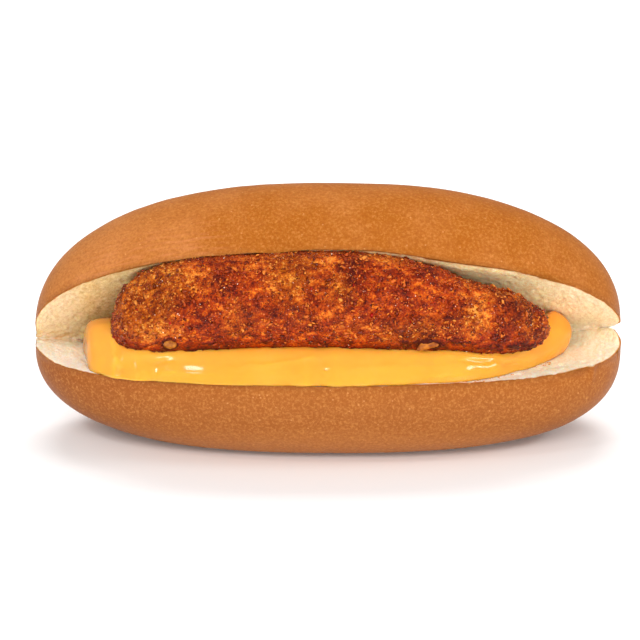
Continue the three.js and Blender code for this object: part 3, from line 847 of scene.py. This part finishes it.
def bread():
    """Satin golden-brown crust, and pale porous crumb inside, painted yellower on the upper half as shade.
    """
    finish = Finish("bread")
    inside, creased = finish.attribute("inside"), finish.attribute("creased")
    streaks = finish.streaks(size_mm=0.9, along=finish.attribute("along"), across=inside, length=8)
    # Where the crease streaks carry the painted sheen.
    painted_sheen_creases = finish.math("MULTIPLY", creased, finish.span(streaks, 0.45, 0.7))
    open_crumb = finish.noise(size_mm=1.0, detail=4, roughness=0.75, stretch=(1, 0.5, 0.8))
    cut = finish.mix(finish.span(inside, 0.04, 0.11), CUT_EDGE, crumb_colour(finish, open_crumb))
    colour = finish.mix(finish.span(inside, -0.03, 0.0), crust_colour(finish, painted_sheen_creases), cut)
    roughness = finish.span(inside, -0.02, 0.05, 0.5, 0.9)
    relief = finish.bump(finish.noise(size_mm=0.5), depth_mm=0.05, strength=0.6)
    creases = finish.math("MULTIPLY", creased, streaks)
    relief = finish.bump(creases, depth_mm=0.25, strength=0.5, below=relief)
    only_crumb = finish.math("MULTIPLY", finish.span(inside, 0.0, 0.1), open_crumb)
    relief = finish.bump(only_crumb, depth_mm=0.8, strength=0.5, below=relief)
    finish.link(finish.span(inside, 0.0, 0.2, 0.15, 0.5), finish.shader.inputs["Subsurface Weight"])
    finish.set(Subsurface_Radius=(1.0, 0.5, 0.25), Subsurface_Scale=3 * MM, Specular_IOR_Level=0.1)
    return finish.finish(colour, roughness, relief)


# ---------------------------------------------------------------- the cutlet

GOLDEN_ANGLE = math.pi * (3 - math.sqrt(5))


def crags(p):
    """Ridged waves from all sides, each shorter and lower than the one before.

    A ridge is 1 less twice the size of a sine, along a direction on a golden spiral round a ball."""
    height = 0
    for k in range(CRAGS["waves"]):
        steep = 1 - (2 * k + 1) / CRAGS["waves"]
        level = math.sqrt(1 - steep**2)
        length = CRAGS["longest"] * CRAGS["ratio"] ** k
        round_turn = k * GOLDEN_ANGLE
        along = p @ np.array([level * math.cos(round_turn), level * math.sin(round_turn), steep])
        height = height + CRAGS["share"] * length * (1 - 2 * np.abs(np.sin(math.pi * along / length + k)))
    return height


def crag_height(x, w, v, turn):
    """How far the breading stands out: the crags, cut down where they are highest or pressed."""
    buried = fade(np.sin(turn), *BURIED_CRAGS["sine"])
    height = CRAG_LIFT + crags(np.stack([x, w, v], axis=-1)) * lerp(1, BURIED_CRAGS["share"], buried)
    along = fade(x, *UNDER_BREAD["right_x"]) * fade(x, *UNDER_BREAD["left_x"])
    pressed = fade(np.sin(turn), *UNDER_BREAD["sine"]) * along
    return lerp(soft_min(height, HIGHEST_CRAG, 1), UNDER_BREAD["height"], pressed)


def cutlet_point(t, turn):
    """A point of the cutlet's surface: t from -1 to 1 along it, turn round it from the front.

    The section is a superellipse, and the crags stand out from it, endwise near the tips."""
    x = CUTLET_SHIFT_X + CUTLET_HALF_LENGTH * t
    middle_w, middle_v, half_width, half_height = cutlet_section(x)
    power = 2 / CUTLET_SECTION_EXPONENT
    w = middle_w + half_width * signed_power(np.cos(turn), power)
    v = middle_v + half_height * signed_power(np.sin(turn), power)
    height = crag_height(x, w, v, turn)
    endwise = t**5
    outward = height * np.sqrt(1 - endwise**2)
    return np.stack([x + height * endwise, w + outward * np.cos(turn), v + outward * np.sin(turn)], axis=-1)


def breading(p):
    """Fried breading: lumps, rounded grains of two sizes, sharp-edged shreds and a fine crackle, in mm.

    Their places drift by a slow noise. Shreds are noise without its sign, upside down."""
    heights, sizes = BREADING_HEIGHTS, BREADING_SIZES
    sideways = np.stack([soft_noise(p, sizes["drift"], 20 + k) for k in range(3)], axis=1)
    drift = p + heights["drift"] * sideways
    lumps = layered_noise(drift, sizes["lumps"], 24, layers=3)
    coarse, own = cell_noise(drift * np.array([0.8, 1, 1]), sizes["grains"], 30)
    fine, _ = cell_noise(drift, sizes["fine_grains"], 36)
    grains = (0.1 + 0.3 * own) * (1 - fade(coarse, 0, 0.75)) + 0.25 * (0.6 - np.minimum(fine, 1))
    ridges = layered_noise(drift * np.array([0.7, 1, 1.2]), sizes["shreds"], 45, layers=3, gain=0.6)
    shreds = 1 - 2.2 * np.abs(ridges)
    crackle = layered_noise(p, sizes["crackle"], 40, layers=2)
    parts = {"lumps": lumps, "grains": grains, "shreds": shreds, "crackle": crackle}
    return sum(heights[key] * part for key, part in parts.items())


# The plainest patches: where the camera sees their middle, their radius, and how golden (above 0) or red.
PATCHES = (
    (-47, 13, 7, 1.0), (-50, 3, 5, 0.5), (-10, 15, 6, 1.0), (5, 13, 4, 0.9), (40, 5, 4, 0.4),
    (27, 1, 5, 0.4), (-34, 6, 5, -1.0), (-24, 14, 7, -0.4), (-2, 5, 7, -0.3), (17, 9, 8, -0.6),
    (30, 11, 6, -0.4),
)
PATCHY = {"share": 0.9, "size": 13, "stretch": np.array([0.8, 1, 1])}
# Painted shade: the patches turn redder and darker low on the cutlet.
PAINTED_SHADE_REDDER_BELOW = {"share": 0.6, "v": (2, -4)}
# Painted shade low on the cutlet, and painted shadow round each morsel.
CUTLET_PAINTED_SHADE_BELOW = {"share": 0.2, "v": (2, -5)}
PAINTED_SHADOW_ROUND_MORSEL = {"share": 0.5, "away": (1.5, 1)}
FRONT_OF_CUTLET = 50  # the w past which a patch of colour is in front

# Each morsel: where the camera sees it, its half sizes, its slope, bend and looks.
MORSELS = {
    "chilli_seed": {
        "x": -43.1, "v": -2.3, "half": (1.95, 1.3, 0.9), "slope": -4, "bend": 0,
        "shades": (srgb(122, 58, 10), srgb(180, 112, 36)), "roughness": 0.25,
    },
    "crust_flake": {
        "x": 27.6, "v": -2.4, "half": (3.1, 1.2, 0.6), "slope": 16, "bend": -0.7,
        "shades": (srgb(116, 50, 8), srgb(184, 106, 26)), "roughness": 0.35,
    },
}

# Each kind: how many, half lengths in mm, width and thickness as shares of the length, and how far sunk.
# Those without shades of their own have the breading's colours.
CRUMB_KINDS = {
    "breading_crumbs": {
        "count": 16500, "small": 0.2, "large": 0.6, "width": 0.6, "thick": 0.5, "sunk": 0.15, "seed": 3,
    },
    "breading_flakes": {
        "count": 1500, "small": 0.5, "large": 1.3, "width": 0.5, "thick": 0.3, "sunk": 0.2, "seed": 5,
    },
    # Pale specks that stand in for glints of oil: painted highlights.
    "painted_glint_specks": {
        "count": 520, "small": 0.1, "large": 0.3, "width": 0.6, "thick": 0.6, "sunk": 0.0, "seed": 9,
        "shades": (srgb(255, 222, 196), srgb(255, 240, 226)), "roughness": 0.1,
    },
    "chilli_flecks": {
        "count": 110, "small": 0.35, "large": 1.0, "width": 0.6, "thick": 0.3, "sunk": 0.0, "seed": 8,
        "shades": (srgb(130, 8, 6), srgb(168, 20, 12)), "roughness": 0.25,
    },
}
SHARE_BURIED = 0.15  # of the crumbs, on what lies in the sauce
CHIP_SIDES = 6
CHIP = {"tipped": 0.35, "smallest": 0.65, "largest": 1.25, "bent": 0.12, "mostly_small": 2.5, "toned": 0.24}
MORSEL_TURNS, MORSEL_ROWS = 40, 24
MORSEL_SEAT = 1.3  # it rests on the mean of the breading this near its middle
MORSEL_UNEVEN, MORSEL_LEAN = 0.25, 0.3


def cutlet_patches(p):
    """Golden where above 0 and chilli-red where below, in broad uneven patches, redder low down as painted
    shade. -1 to 1.
    """
    patch = PATCHY["share"] * layered_noise(p * PATCHY["stretch"], PATCHY["size"], 52, gain=0.6)
    in_front = p[:, 1] > FRONT_OF_CUTLET
    for x, v, radius, golden in PATCHES:
        patch = patch + golden * np.exp(-((p[:, 0] - x) ** 2 + (p[:, 2] - v) ** 2) / radius**2) * in_front
    # redder low down, as painted shade
    return np.clip(patch - PAINTED_SHADE_REDDER_BELOW["share"] * fade(p[:, 2], *PAINTED_SHADE_REDDER_BELOW["v"]), -1, 1)


def low_shade(p):
    """Painted shade: the breading is darker where it curves down to the sauce, with painted shadow close
    round the morsels.
    """
    in_front = p[:, 1] > CUTLET_MIDDLE["w"]
    shade = CUTLET_PAINTED_SHADE_BELOW["share"] * fade(p[:, 2], *CUTLET_PAINTED_SHADE_BELOW["v"])
    for morsel in MORSELS.values():
        half_long, half_wide, _ = morsel["half"]
        away = np.hypot((p[:, 0] - morsel["x"]) / half_long, (p[:, 2] - morsel["v"]) / half_wide)
        shade = shade + PAINTED_SHADOW_ROUND_MORSEL["share"] * fade(away, *PAINTED_SHADOW_ROUND_MORSEL["away"]) * in_front
    return shade


CUTLET_RINGS, CUTLET_SECTORS = 380, 256
DENSER_ROUND = {"share": 0.45, "turn": 0.3}  # sectors crowd where the cutlet shows


def build_cutlet():
    """The cutlet's surface on a grid of t and turn, with the breading's relief along its normals."""
    t = -np.cos(np.linspace(0, math.pi, CUTLET_RINGS + 1))[:, None]
    even = np.linspace(0, 2 * math.pi, CUTLET_SECTORS + 1)[None, :]
    turn = even - DENSER_ROUND["share"] * np.sin(even - DENSER_ROUND["turn"])
    points, faces, _ = joined([(closed_grid(cutlet_point(t + 0 * turn, turn + 0 * t)), True)])
    height = breading(points)
    low, high = np.percentile(height, [2, 99.5])
    points = points + normals_of(points, faces) * (height - BREADING_HEIGHTS["sunk"])[:, None]
    # The breading's height as crest: its hollows are painted dark as shade, and low_shade takes off more
    # painted shade.
    crest = np.clip((height - low) / (high - low), 0, 1) - low_shade(points)
    patch = cutlet_patches(points)
    make_piece("breaded_cutlet", "cutlet", to_table(points), faces, fried_crust(), crest=crest, patch=patch)
    for name, kind in CRUMB_KINDS.items():
        scatter_crumbs(name, points, faces, kind)
    for name, morsel in MORSELS.items():
        build_morsel(name, points, morsel)


def chip_template():
    """A chip: a point above, a point below and a rim of six between them. 12 triangles."""
    rim = np.arange(CHIP_SIDES) * 2 * math.pi / CHIP_SIDES
    points = np.concatenate([[(0, 0, 1), (0, 0, -1)], np.stack([np.cos(rim), np.sin(rim), 0 * rim], 1)])
    around = np.arange(CHIP_SIDES) + 2
    following = np.roll(around, -1)
    top = np.stack([np.zeros(CHIP_SIDES, int), around, following], 1)
    bottom = np.stack([np.ones(CHIP_SIDES, int), following, around], 1)
    return points, np.concatenate([top, bottom])


def chip_faces(count):
    """The triangles of this many chips in one mesh, one chip's points after another's."""
    template, faces = chip_template()
    return (faces + np.arange(count)[:, None, None] * len(template)).reshape(-1, 3)


def one_long(vectors):
    """The same directions, each divided by its length."""
    return vectors / np.linalg.norm(vectors, axis=1, keepdims=True)


def scatter_crumbs(name, points, faces, kind):
    """Chips of broken breading on the cutlet, evenly by area, turned at random and tipped a little.

    A chip is its template times its size, along three directions square to each other."""
    draw = np.random.default_rng(kind["seed"])
    count, corners = kind["count"], points[faces]
    area = np.linalg.norm(area_vectors(points, faces), axis=1)
    area *= lerp(1, SHARE_BURIED, fade(corners[:, :, 2].mean(axis=1), 0, -3))
    chosen = draw.choice(len(faces), count, p=area / area.sum())
    place = corners[chosen].mean(axis=1)
    up = normals_of(points, faces)[faces[chosen]].mean(axis=1)
    up = one_long(up + draw.normal(0, CHIP["tipped"], (count, 3)))
    along = one_long(np.cross(up, draw.normal(0, 1, up.shape)))
    across = np.cross(up, along)
    size = lerp(kind["small"], kind["large"], draw.random(count) ** CHIP["mostly_small"])
    template, _ = chip_template()
    shape = template[None] * draw.uniform(CHIP["smallest"], CHIP["largest"], (count, len(template), 1))
    shape = shape * np.array([1, kind["width"], kind["thick"]]) * size[:, None, None]
    shape[..., 2] += draw.normal(0, CHIP["bent"], shape.shape[:2]) * size[:, None]
    chips = (place - up * (kind["sunk"] * size)[:, None])[:, None]
    for k, axis in enumerate((along, across, up)):
        chips = chips + shape[..., k, None] * axis[:, None]
    own_tone = 0.5 + 0.25 * soft_noise(place, 2.4, 48) + draw.normal(0, CHIP["toned"], count)
    make_piece(
        name, "cutlet", to_table(chips.reshape(-1, 3)), chip_faces(count), crumb_finish(name, kind),
        # the chips' own tones, less painted shade
        crest=np.repeat(np.clip(own_tone, 0.1, 1) - low_shade(place), len(template)),
        patch=np.repeat(cutlet_patches(place), len(template)),
    )


def build_morsel(name, cutlet_points, morsel):
    """A rounded morsel, bent if it is a flake, lying on the breading and turned to the camera.

    An ellipsoid on a grid of turn and rise, moved across by its bend times the square of the way along."""
    away = np.hypot(cutlet_points[:, 0] - morsel["x"], cutlet_points[:, 2] - morsel["v"])
    seat = (away < MORSEL_SEAT) & (cutlet_points[:, 1] > CUTLET_MIDDLE["w"])
    turn = np.linspace(0, 2 * math.pi, MORSEL_TURNS + 1)[None, :]
    rise = np.linspace(-math.pi / 2, math.pi / 2, MORSEL_ROWS + 1)[:, None]
    ball = np.stack([np.cos(rise) * np.cos(turn), np.cos(rise) * np.sin(turn), np.sin(rise) + 0 * turn], -1)
    points, faces, _ = joined([(closed_grid(ball), False)])
    along, across, out = (points * np.array(morsel["half"])).T
    across = across * (1 + MORSEL_UNEVEN * soft_noise(points * 2, 1, 77))
    across = across + morsel["bend"] * points[:, 0] ** 2
    slope = math.radians(morsel["slope"])
    x = along * math.cos(slope) - across * math.sin(slope)
    v = along * math.sin(slope) + across * math.cos(slope)
    lying = cutlet_points[seat].mean(axis=0) + np.stack([x, out + MORSEL_LEAN * across, v], axis=1)
    make_piece(name, "cutlet", to_table(lying), faces[:, ::-1], crumb_finish(name, morsel))


RED_BREADING = ((0.0, (62, 9, 5)), (0.35, (123, 32, 6)), (0.65, (169, 60, 9)), (1.0, (222, 114, 28)))
GOLDEN_BREADING = ((0.0, (76, 18, 3)), (0.35, (142, 56, 7)), (0.65, (184, 94, 18)), (1.0, (234, 158, 66)))


def breading_colour(finish, level):
    """From dark to light along level, red in the red patches and golden in the golden ones."""
    red, golden = (
        finish.ramp(level, *((place, srgb(*colour)) for place, colour in stops))
        for stops in (RED_BREADING, GOLDEN_BREADING)
    )
    return finish.mix(finish.span(finish.attribute("patch"), -0.35, 0.45, 0.05, 0.95), red, golden)


def fried_crust():
    """Oily chilli-red breading: dark in the hollows as painted shade, and golden on the crests."""
    finish = Finish("fried_crust")
    grain = finish.noise(size_mm=0.55, detail=4, roughness=0.75)
    # Crest paints the hollows dark as shade; the grain is the breading's own.
    level = finish.math("ADD", finish.attribute("crest"), finish.span(grain, 0.3, 0.7, -0.36, 0.36))
    roughness = finish.span(finish.noise(size_mm=2.2), 0.35, 0.65, 0.3, 0.55)
    fine = finish.bump(finish.noise(size_mm=0.4, roughness=0.65), depth_mm=0.09, strength=0.8)
    finish.set(Specular_IOR_Level=0.15)
    finish.set(Subsurface_Weight=0.3, Subsurface_Radius=(1.0, 0.3, 0.1), Subsurface_Scale=1.2 * MM)
    return finish.finish(breading_colour(finish, level), roughness, fine)


def crumb_finish(name, kind):
    """Crumbs and morsels: between their own two shades, or in the breading's colours, a tone to each."""
    finish = Finish(name)
    if "shades" in kind:
        dark, light = kind["shades"]
        finish.set(Roughness=kind["roughness"], Specular_IOR_Level=0.3)
        return finish.finish(finish.ramp(finish.noise(size_mm=1.4, detail=2), (0.35, dark), (0.65, light)))
    crest = finish.attribute("crest")
    finish.set(Specular_IOR_Level=0.5)
    finish.set(Subsurface_Weight=0.15, Subsurface_Radius=(1.0, 0.35, 0.1), Subsurface_Scale=0.6 * MM)
    return finish.finish(breading_colour(finish, crest), finish.span(crest, 0.2, 0.9, 0.1, 0.45))


# ---------------------------------------------------------------- the cheese sauce

def lower_face(x, w):
    """The height of the lower half's cut face: a slope down from the hinge at the half's own turn."""
    roll_x = x - ROLL_SHIFT_X
    return -np.maximum(w - hinge_at(roll_x), 0) * np.tan(opening_at(LOWER_OPENING, roll_x))


def sauce_front(x):
    """How far forward the sauce reaches at x: to the lip, and short of it round its right lobe.

    The product of two sines of x, and a sine bent by another, make its edge uneven."""
    roll_x = x - ROLL_SHIFT_X
    hinge = hinge_at(roll_x)
    lip_s = CENTRE_TO_HINGE + half_depth(roll_x) * (1 + LOWER_LIP_REACH / ROLL_HALF_DEPTH)
    lip_w = hinge + (lip_s - hinge) * np.cos(opening_at(LOWER_OPENING, roll_x))
    bare = fade(x, SAUCE_FRONT["bare_from"], SAUCE["right"])
    inset = lerp(SAUCE_FRONT["inset"], SAUCE_FRONT["bare_inset"], bare)
    wobble = 0.35 * np.sin(x / 3.1) * np.sin(x / 7.3 + 1) + 0.25 * np.sin(x / 1.7 + 2 * np.sin(x / 9))
    return lip_w - inset + SAUCE_FRONT["left_over"] * fade(x, *SAUCE_OVER_X) + wobble


def sauce_across(x, size, share):
    """The w at this share of the layer's width, -1 at the back and 1 in front.

    Its top runs level to the bead that rounds off the front; size draws both in towards the ends."""
    front = sauce_front(x)
    back = lerp(SAUCE["back"], SAUCE["right_back"], fade(x, *SAUCE_BACK_X))
    middle, reach = (front + back) / 2, (front - back) / 2 * size
    crest = middle + np.maximum(reach - SAUCE["bead"], 0)
    return np.where(share > 0, lerp(crest, middle + reach, share), lerp(crest, middle - reach, -share))


SAUCE_MIDDLE, SAUCE_HALF_LENGTH = (SAUCE["right"] + SAUCE["left"]) / 2, (SAUCE["right"] - SAUCE["left"]) / 2
SAUCE_RINGS, SAUCE_SECTORS = 320, 150
# Painted light: the sauce is painted paler just below the cutlet, where the cutlet shades it.
PAINTED_SAUCE_LIGHT = {"middle_x": 1, "x": (60, 54), "v": (-8.5, -5.5)}
SAUCE_SWELLS = ((0.3, 14, (1, 1, 1)), (0.22, 5, (0.4, 1, 1)), (0.05, 4, (1, 1, 1)))  # height, size, stretch


def sauce_end(t, key):
    """The layer's size at t from -1 to 1, from above or in height: a superellipse with its own ends."""
    return np.where(t < 0, bulge(t, SAUCE_ENDS["left"][key]), bulge(t, SAUCE_ENDS["right"][key]))


def sauce_grid():
    """Rings across the layer: flat on the crumb below, a rounded bead in front, the cutlet's bed above."""
    t = -np.cos(np.linspace(0, math.pi, SAUCE_RINGS + 1))[:, None]
    turn = np.linspace(0, 2 * math.pi, SAUCE_SECTORS + 1)[None, :]
    power = 2 / SAUCE_EDGE_EXPONENT
    x = SAUCE_MIDDLE + SAUCE_HALF_LENGTH * t + 0 * turn
    w = sauce_across(x, sauce_end(t, "plan"), signed_power(np.cos(turn), power))
    past_tip = np.abs(x - CUTLET_SHIFT_X) - CUTLET_HALF_LENGTH + SAUCE_LOBES["before_tip"]
    rise = np.where(t < 0, SAUCE_LOBES["left"], SAUCE_LOBES["right"])
    lobe = rise * fade(past_tip, 0, SAUCE_LOBES["over"])
    edge = np.maximum(np.sin(turn), 0) ** power
    thickness = (SAUCE["thickness"] + lobe) * sauce_end(t, "height") * edge
    x = x + SAUCE_SLANT * np.maximum(w - SAUCE["back"], 0) * fade(t, *SAUCE_END_T["slanted"])
    floor = lower_face(x, w)
    top = soft_min(floor + thickness, cutlet_side(x, w, -1, SAUCE_TOUCH), SAUCE_BED_EDGE)
    low = 1 - np.clip((top - floor) / SAUCE_TUCK["height"], 0, 1)
    x = x - SAUCE_TUCK["depth"] * low**2 * fade(t, *SAUCE_END_T["tucked"])
    return closed_grid(np.stack([x, w, np.maximum(top, floor)], axis=-1))


def build_sauce():
    """The layer, with slow swells and its dimples along its normals wherever it is off the crumb."""
    points, faces, _ = joined([(sauce_grid(), True)])
    raised = fade(points[:, 2] - lower_face(points[:, 0], points[:, 1]), *SAUCE_RAISED)
    swell = -sauce_dimples(points)
    for k, (height, size, stretch) in enumerate(SAUCE_SWELLS):
        swell += height * soft_noise(points * np.array(stretch), size, 60 + k)
    points = points + normals_of(points, faces) * (swell * raised)[:, None]
    from_middle = np.abs(points[:, 0] - PAINTED_SAUCE_LIGHT["middle_x"])
    # Painted light where the cutlet shades the sauce.
    painted_light_under_cutlet = fade(points[:, 2], *PAINTED_SAUCE_LIGHT["v"]) * fade(from_middle, *PAINTED_SAUCE_LIGHT["x"])
    make_piece("melted_sauce", "cheese_sauce", to_table(points), faces, cheese(), pale=painted_light_under_cutlet)


# Each dimple, or bump where its depth is below 0: where the camera sees it, its size and how deep it is.
# One that is many times as long as it is high is a groove or a ridge, and wavers.
DIMPLES = (
    {"x": -14, "v": -7.6, "radius": 0.8, "long": 15, "depth": 0.28, "slope": 0.13},
    {"x": -41, "v": -10.4, "radius": 0.8, "long": 13, "depth": 0.25, "slope": -0.03},
    {"x": 16, "v": -9, "radius": 0.9, "long": 12, "depth": 0.16, "slope": 0.05},
    {"x": 63.2, "v": 0.5, "radius": 1.6, "long": 1, "depth": 0.9},
    {"x": -58.3, "v": -6.2, "radius": 0.9, "long": 1, "depth": 0.5},
    {"x": -57.5, "v": -9.3, "radius": 1.2, "long": 1.3, "depth": -0.5},
    {"x": -45.8, "v": -7.2, "radius": 0.9, "long": 4.5, "depth": -0.35},
    {"x": 61.5, "v": -2, "radius": 0.9, "long": 1.2, "depth": -0.7},
    {"x": 63.8, "v": -3.1, "radius": 0.9, "long": 1, "depth": -0.7},
    {"x": 41.3, "v": -7.1, "radius": 0.7, "long": 7, "depth": -0.3},
    {"x": 51, "v": -7.8, "radius": 0.7, "long": 4, "depth": -0.45},
    {"x": 51, "v": -9.4, "radius": 0.6, "long": 3, "depth": -0.2},
)
FRONT_OF_SAUCE = 45  # the w past which a dimple is in front


def sauce_dimples(p):
    """Hollows where the sauce slumped, less its bumps: exp(-r^2) of the distance in radii, summed."""
    x, w, v = p.T
    waver = 0.35 * np.sin(x / 1.7 + 2 * np.sin(x / 3.9))
    depth = 0
    for dimple in DIMPLES:
        middle = dimple["v"] + waver * (dimple["long"] > 2) + dimple.get("slope", 0) * (x - dimple["x"])
        across = (v - middle) / dimple["radius"]
        along = (x - dimple["x"]) / (dimple["radius"] * dimple["long"])
        depth = depth + dimple["depth"] * np.exp(-along * along - across * across) * (w > FRONT_OF_SAUCE)
    return depth


SPECKS = {"count": 60, "from": 36, "to": 64, "reach": 3, "small": 0.12, "large": 0.35, "seed": 12}
SPECK_SHAPE = np.array([1.3, 1, 0.5])
SPECK_LIFT = 0.05


def build_specks():
    """Specks of sauce smeared on the bare crumb in front of the layer, on the right."""
    draw = np.random.default_rng(SPECKS["seed"])
    x = draw.uniform(SPECKS["from"], SPECKS["to"], SPECKS["count"])
    edge = sauce_across(x, sauce_end((x - SAUCE_MIDDLE) / SAUCE_HALF_LENGTH, "plan"), 1)
    w = edge + draw.random(len(x)) ** 2 * SPECKS["reach"]
    place = np.stack([x, w, lower_face(x, w) + SPECK_LIFT], axis=1)
    size = lerp(SPECKS["small"], SPECKS["large"], draw.random(len(x)) ** 2)
    template, _ = chip_template()
    points = (place[:, None] + template * SPECK_SHAPE * size[:, None, None]).reshape(-1, 3)
    make_piece("sauce_specks", "cheese_sauce", to_table(points), chip_faces(len(x)), cheese_specks())


CHEESE_YELLOWS = ((0.3, srgb(237, 154, 49)), (0.7, srgb(239, 162, 57)))
# The pale cheese colour is painted light.
CHEESE_PAINTED_LIGHT, CHEESE_SPECK = srgb(245, 176, 74), srgb(214, 134, 52)


def cheese():
    """Glossy yellow cheese sauce that light sinks into."""
    finish = Finish("cheese")
    colour = finish.ramp(finish.noise(size_mm=14, detail=2), *CHEESE_YELLOWS)
    # Painted light lifts the shade just below the cutlet.
    colour = finish.tinted(colour, finish.attribute("pale"), 0.5, CHEESE_PAINTED_LIGHT)
    finish.set(Subsurface_Weight=0.9, Subsurface_Radius=(1.0, 0.6, 0.2), Subsurface_Scale=4 * MM)
    finish.set(Roughness=0.12, Specular_IOR_Level=0.35)
    ripples = finish.bump(finish.noise(size_mm=3.0, detail=2), depth_mm=0.12, strength=0.4)
    return finish.finish(colour, normal=ripples)


def cheese_specks():
    """Dried specks of the sauce, darker and duller than the layer."""
    finish = Finish("cheese_specks")
    finish.set(Base_Color=CHEESE_SPECK, Roughness=0.5, Specular_IOR_Level=0.35)
    return finish.material


# ---------------------------------------------------------------- the room

PHOTO_WIDTH = 640
PIXEL = 0.2811  # millimetres of the sandwich in one pixel of the photo
SCALE_PLANE = 35  # at this w
HINGE_PIXEL = (326.5, 335)  # where x = 0, v = 0 shows
CAMERA_DISTANCE = 1150  # along w
SENSOR = 36
CLIP_START, CLIP_END = 0.05, 20

TABLE_HALF = 4.0
TABLE_WHITE, WALL_WHITE = (0.95, 0.95, 0.95, 1), (1, 1, 1, 1)
WALL_STRENGTH = 0.45
LIT_POINT = (0, 0, 0.03)

# Each light: degrees round from the front, positive to the right, degrees up, metres away, its two
# sides in metres, its watts, and whether it is mirrored in the sauce.
LIGHTS = {
    "behind": (180, 55, 1.0, (0.8, 0.6), 8, False),
    "front": (-6, 32, 1.0, (0.9, 0.25), 5.2, False),
    "low_front": (8, 10, 1.3, (0.9, 0.3), 10, False),
    "left_spark": (-43, 43, 1.0, (0.14, 0.06), 0.85, True),
    "right_spark": (75, 30, 1.0, (0.3, 0.12), 1.7, True),
}


def make_camera():
    """Looks back along w, from where the photo's scale and the hinge's pixel come out."""
    camera = bpy.data.cameras.new("camera")
    camera.sensor_width = SENSOR
    camera.lens = (CAMERA_DISTANCE - SCALE_PLANE) / PIXEL * SENSOR / PHOTO_WIDTH
    camera.clip_start, camera.clip_end = CLIP_START, CLIP_END
    holder = bpy.data.objects.new("camera", camera)
    bpy.context.scene.collection.objects.link(holder)
    x = (PHOTO_WIDTH / 2 - HINGE_PIXEL[0]) * PIXEL
    v = (HINGE_PIXEL[1] - PHOTO_WIDTH / 2) * PIXEL
    holder.location = tuple((tipped_up((x, CAMERA_DISTANCE, v)) + table_shift) * MM)
    holder.rotation_euler = (math.pi / 2 - SLIT_RISE, 0, 0)
    bpy.context.scene.camera = holder


def make_light(name, azimuth, elevation, distance, size, power, glossy):
    """A soft box on a sphere round the lit point, turned to face it."""
    light = bpy.data.lights.new(name, "AREA")
    light.shape = "RECTANGLE"
    light.size, light.size_y = size
    light.energy = power
    holder = bpy.data.objects.new(name, light)
    bpy.context.scene.collection.objects.link(holder)
    side, up = math.radians(azimuth), math.radians(elevation)
    outward = Vector((math.sin(side) * math.cos(up), -math.cos(side) * math.cos(up), math.sin(up)))
    holder.location = Vector(LIT_POINT) + outward * distance
    holder.rotation_euler = (-outward).to_track_quat("-Z", "Y").to_euler()
    holder.visible_glossy = glossy


def make_table():
    """A white square of table top at z = 0."""
    corners = [(x * TABLE_HALF, y * TABLE_HALF, 0) for x, y in ((-1, -1), (1, -1), (1, 1), (-1, 1))]
    mesh = bpy.data.meshes.new("table_top")
    mesh.from_pydata(corners, [], [(0, 1, 2, 3)])
    table = bpy.data.objects.new("table_top", mesh)
    bpy.context.scene.collection.objects.link(table)
    white = Finish("table_white")
    white.set(Base_Color=TABLE_WHITE, Roughness=0.9, Specular_IOR_Level=0.0)
    mesh.materials.append(white.material)


def make_room():
    """White light from all round, and the soft boxes."""
    world = bpy.data.worlds.new("room")
    bpy.context.scene.world = world
    world.use_nodes = True
    background = world.node_tree.nodes["Background"]
    background.inputs["Color"].default_value = WALL_WHITE
    background.inputs["Strength"].default_value = WALL_STRENGTH
    for name, light in LIGHTS.items():
        make_light(name, *light)
    bpy.context.scene.view_settings.view_transform = "Standard"


build_roll()
build_cutlet()
build_sauce()
build_specks()
make_camera()
make_table()
make_room()
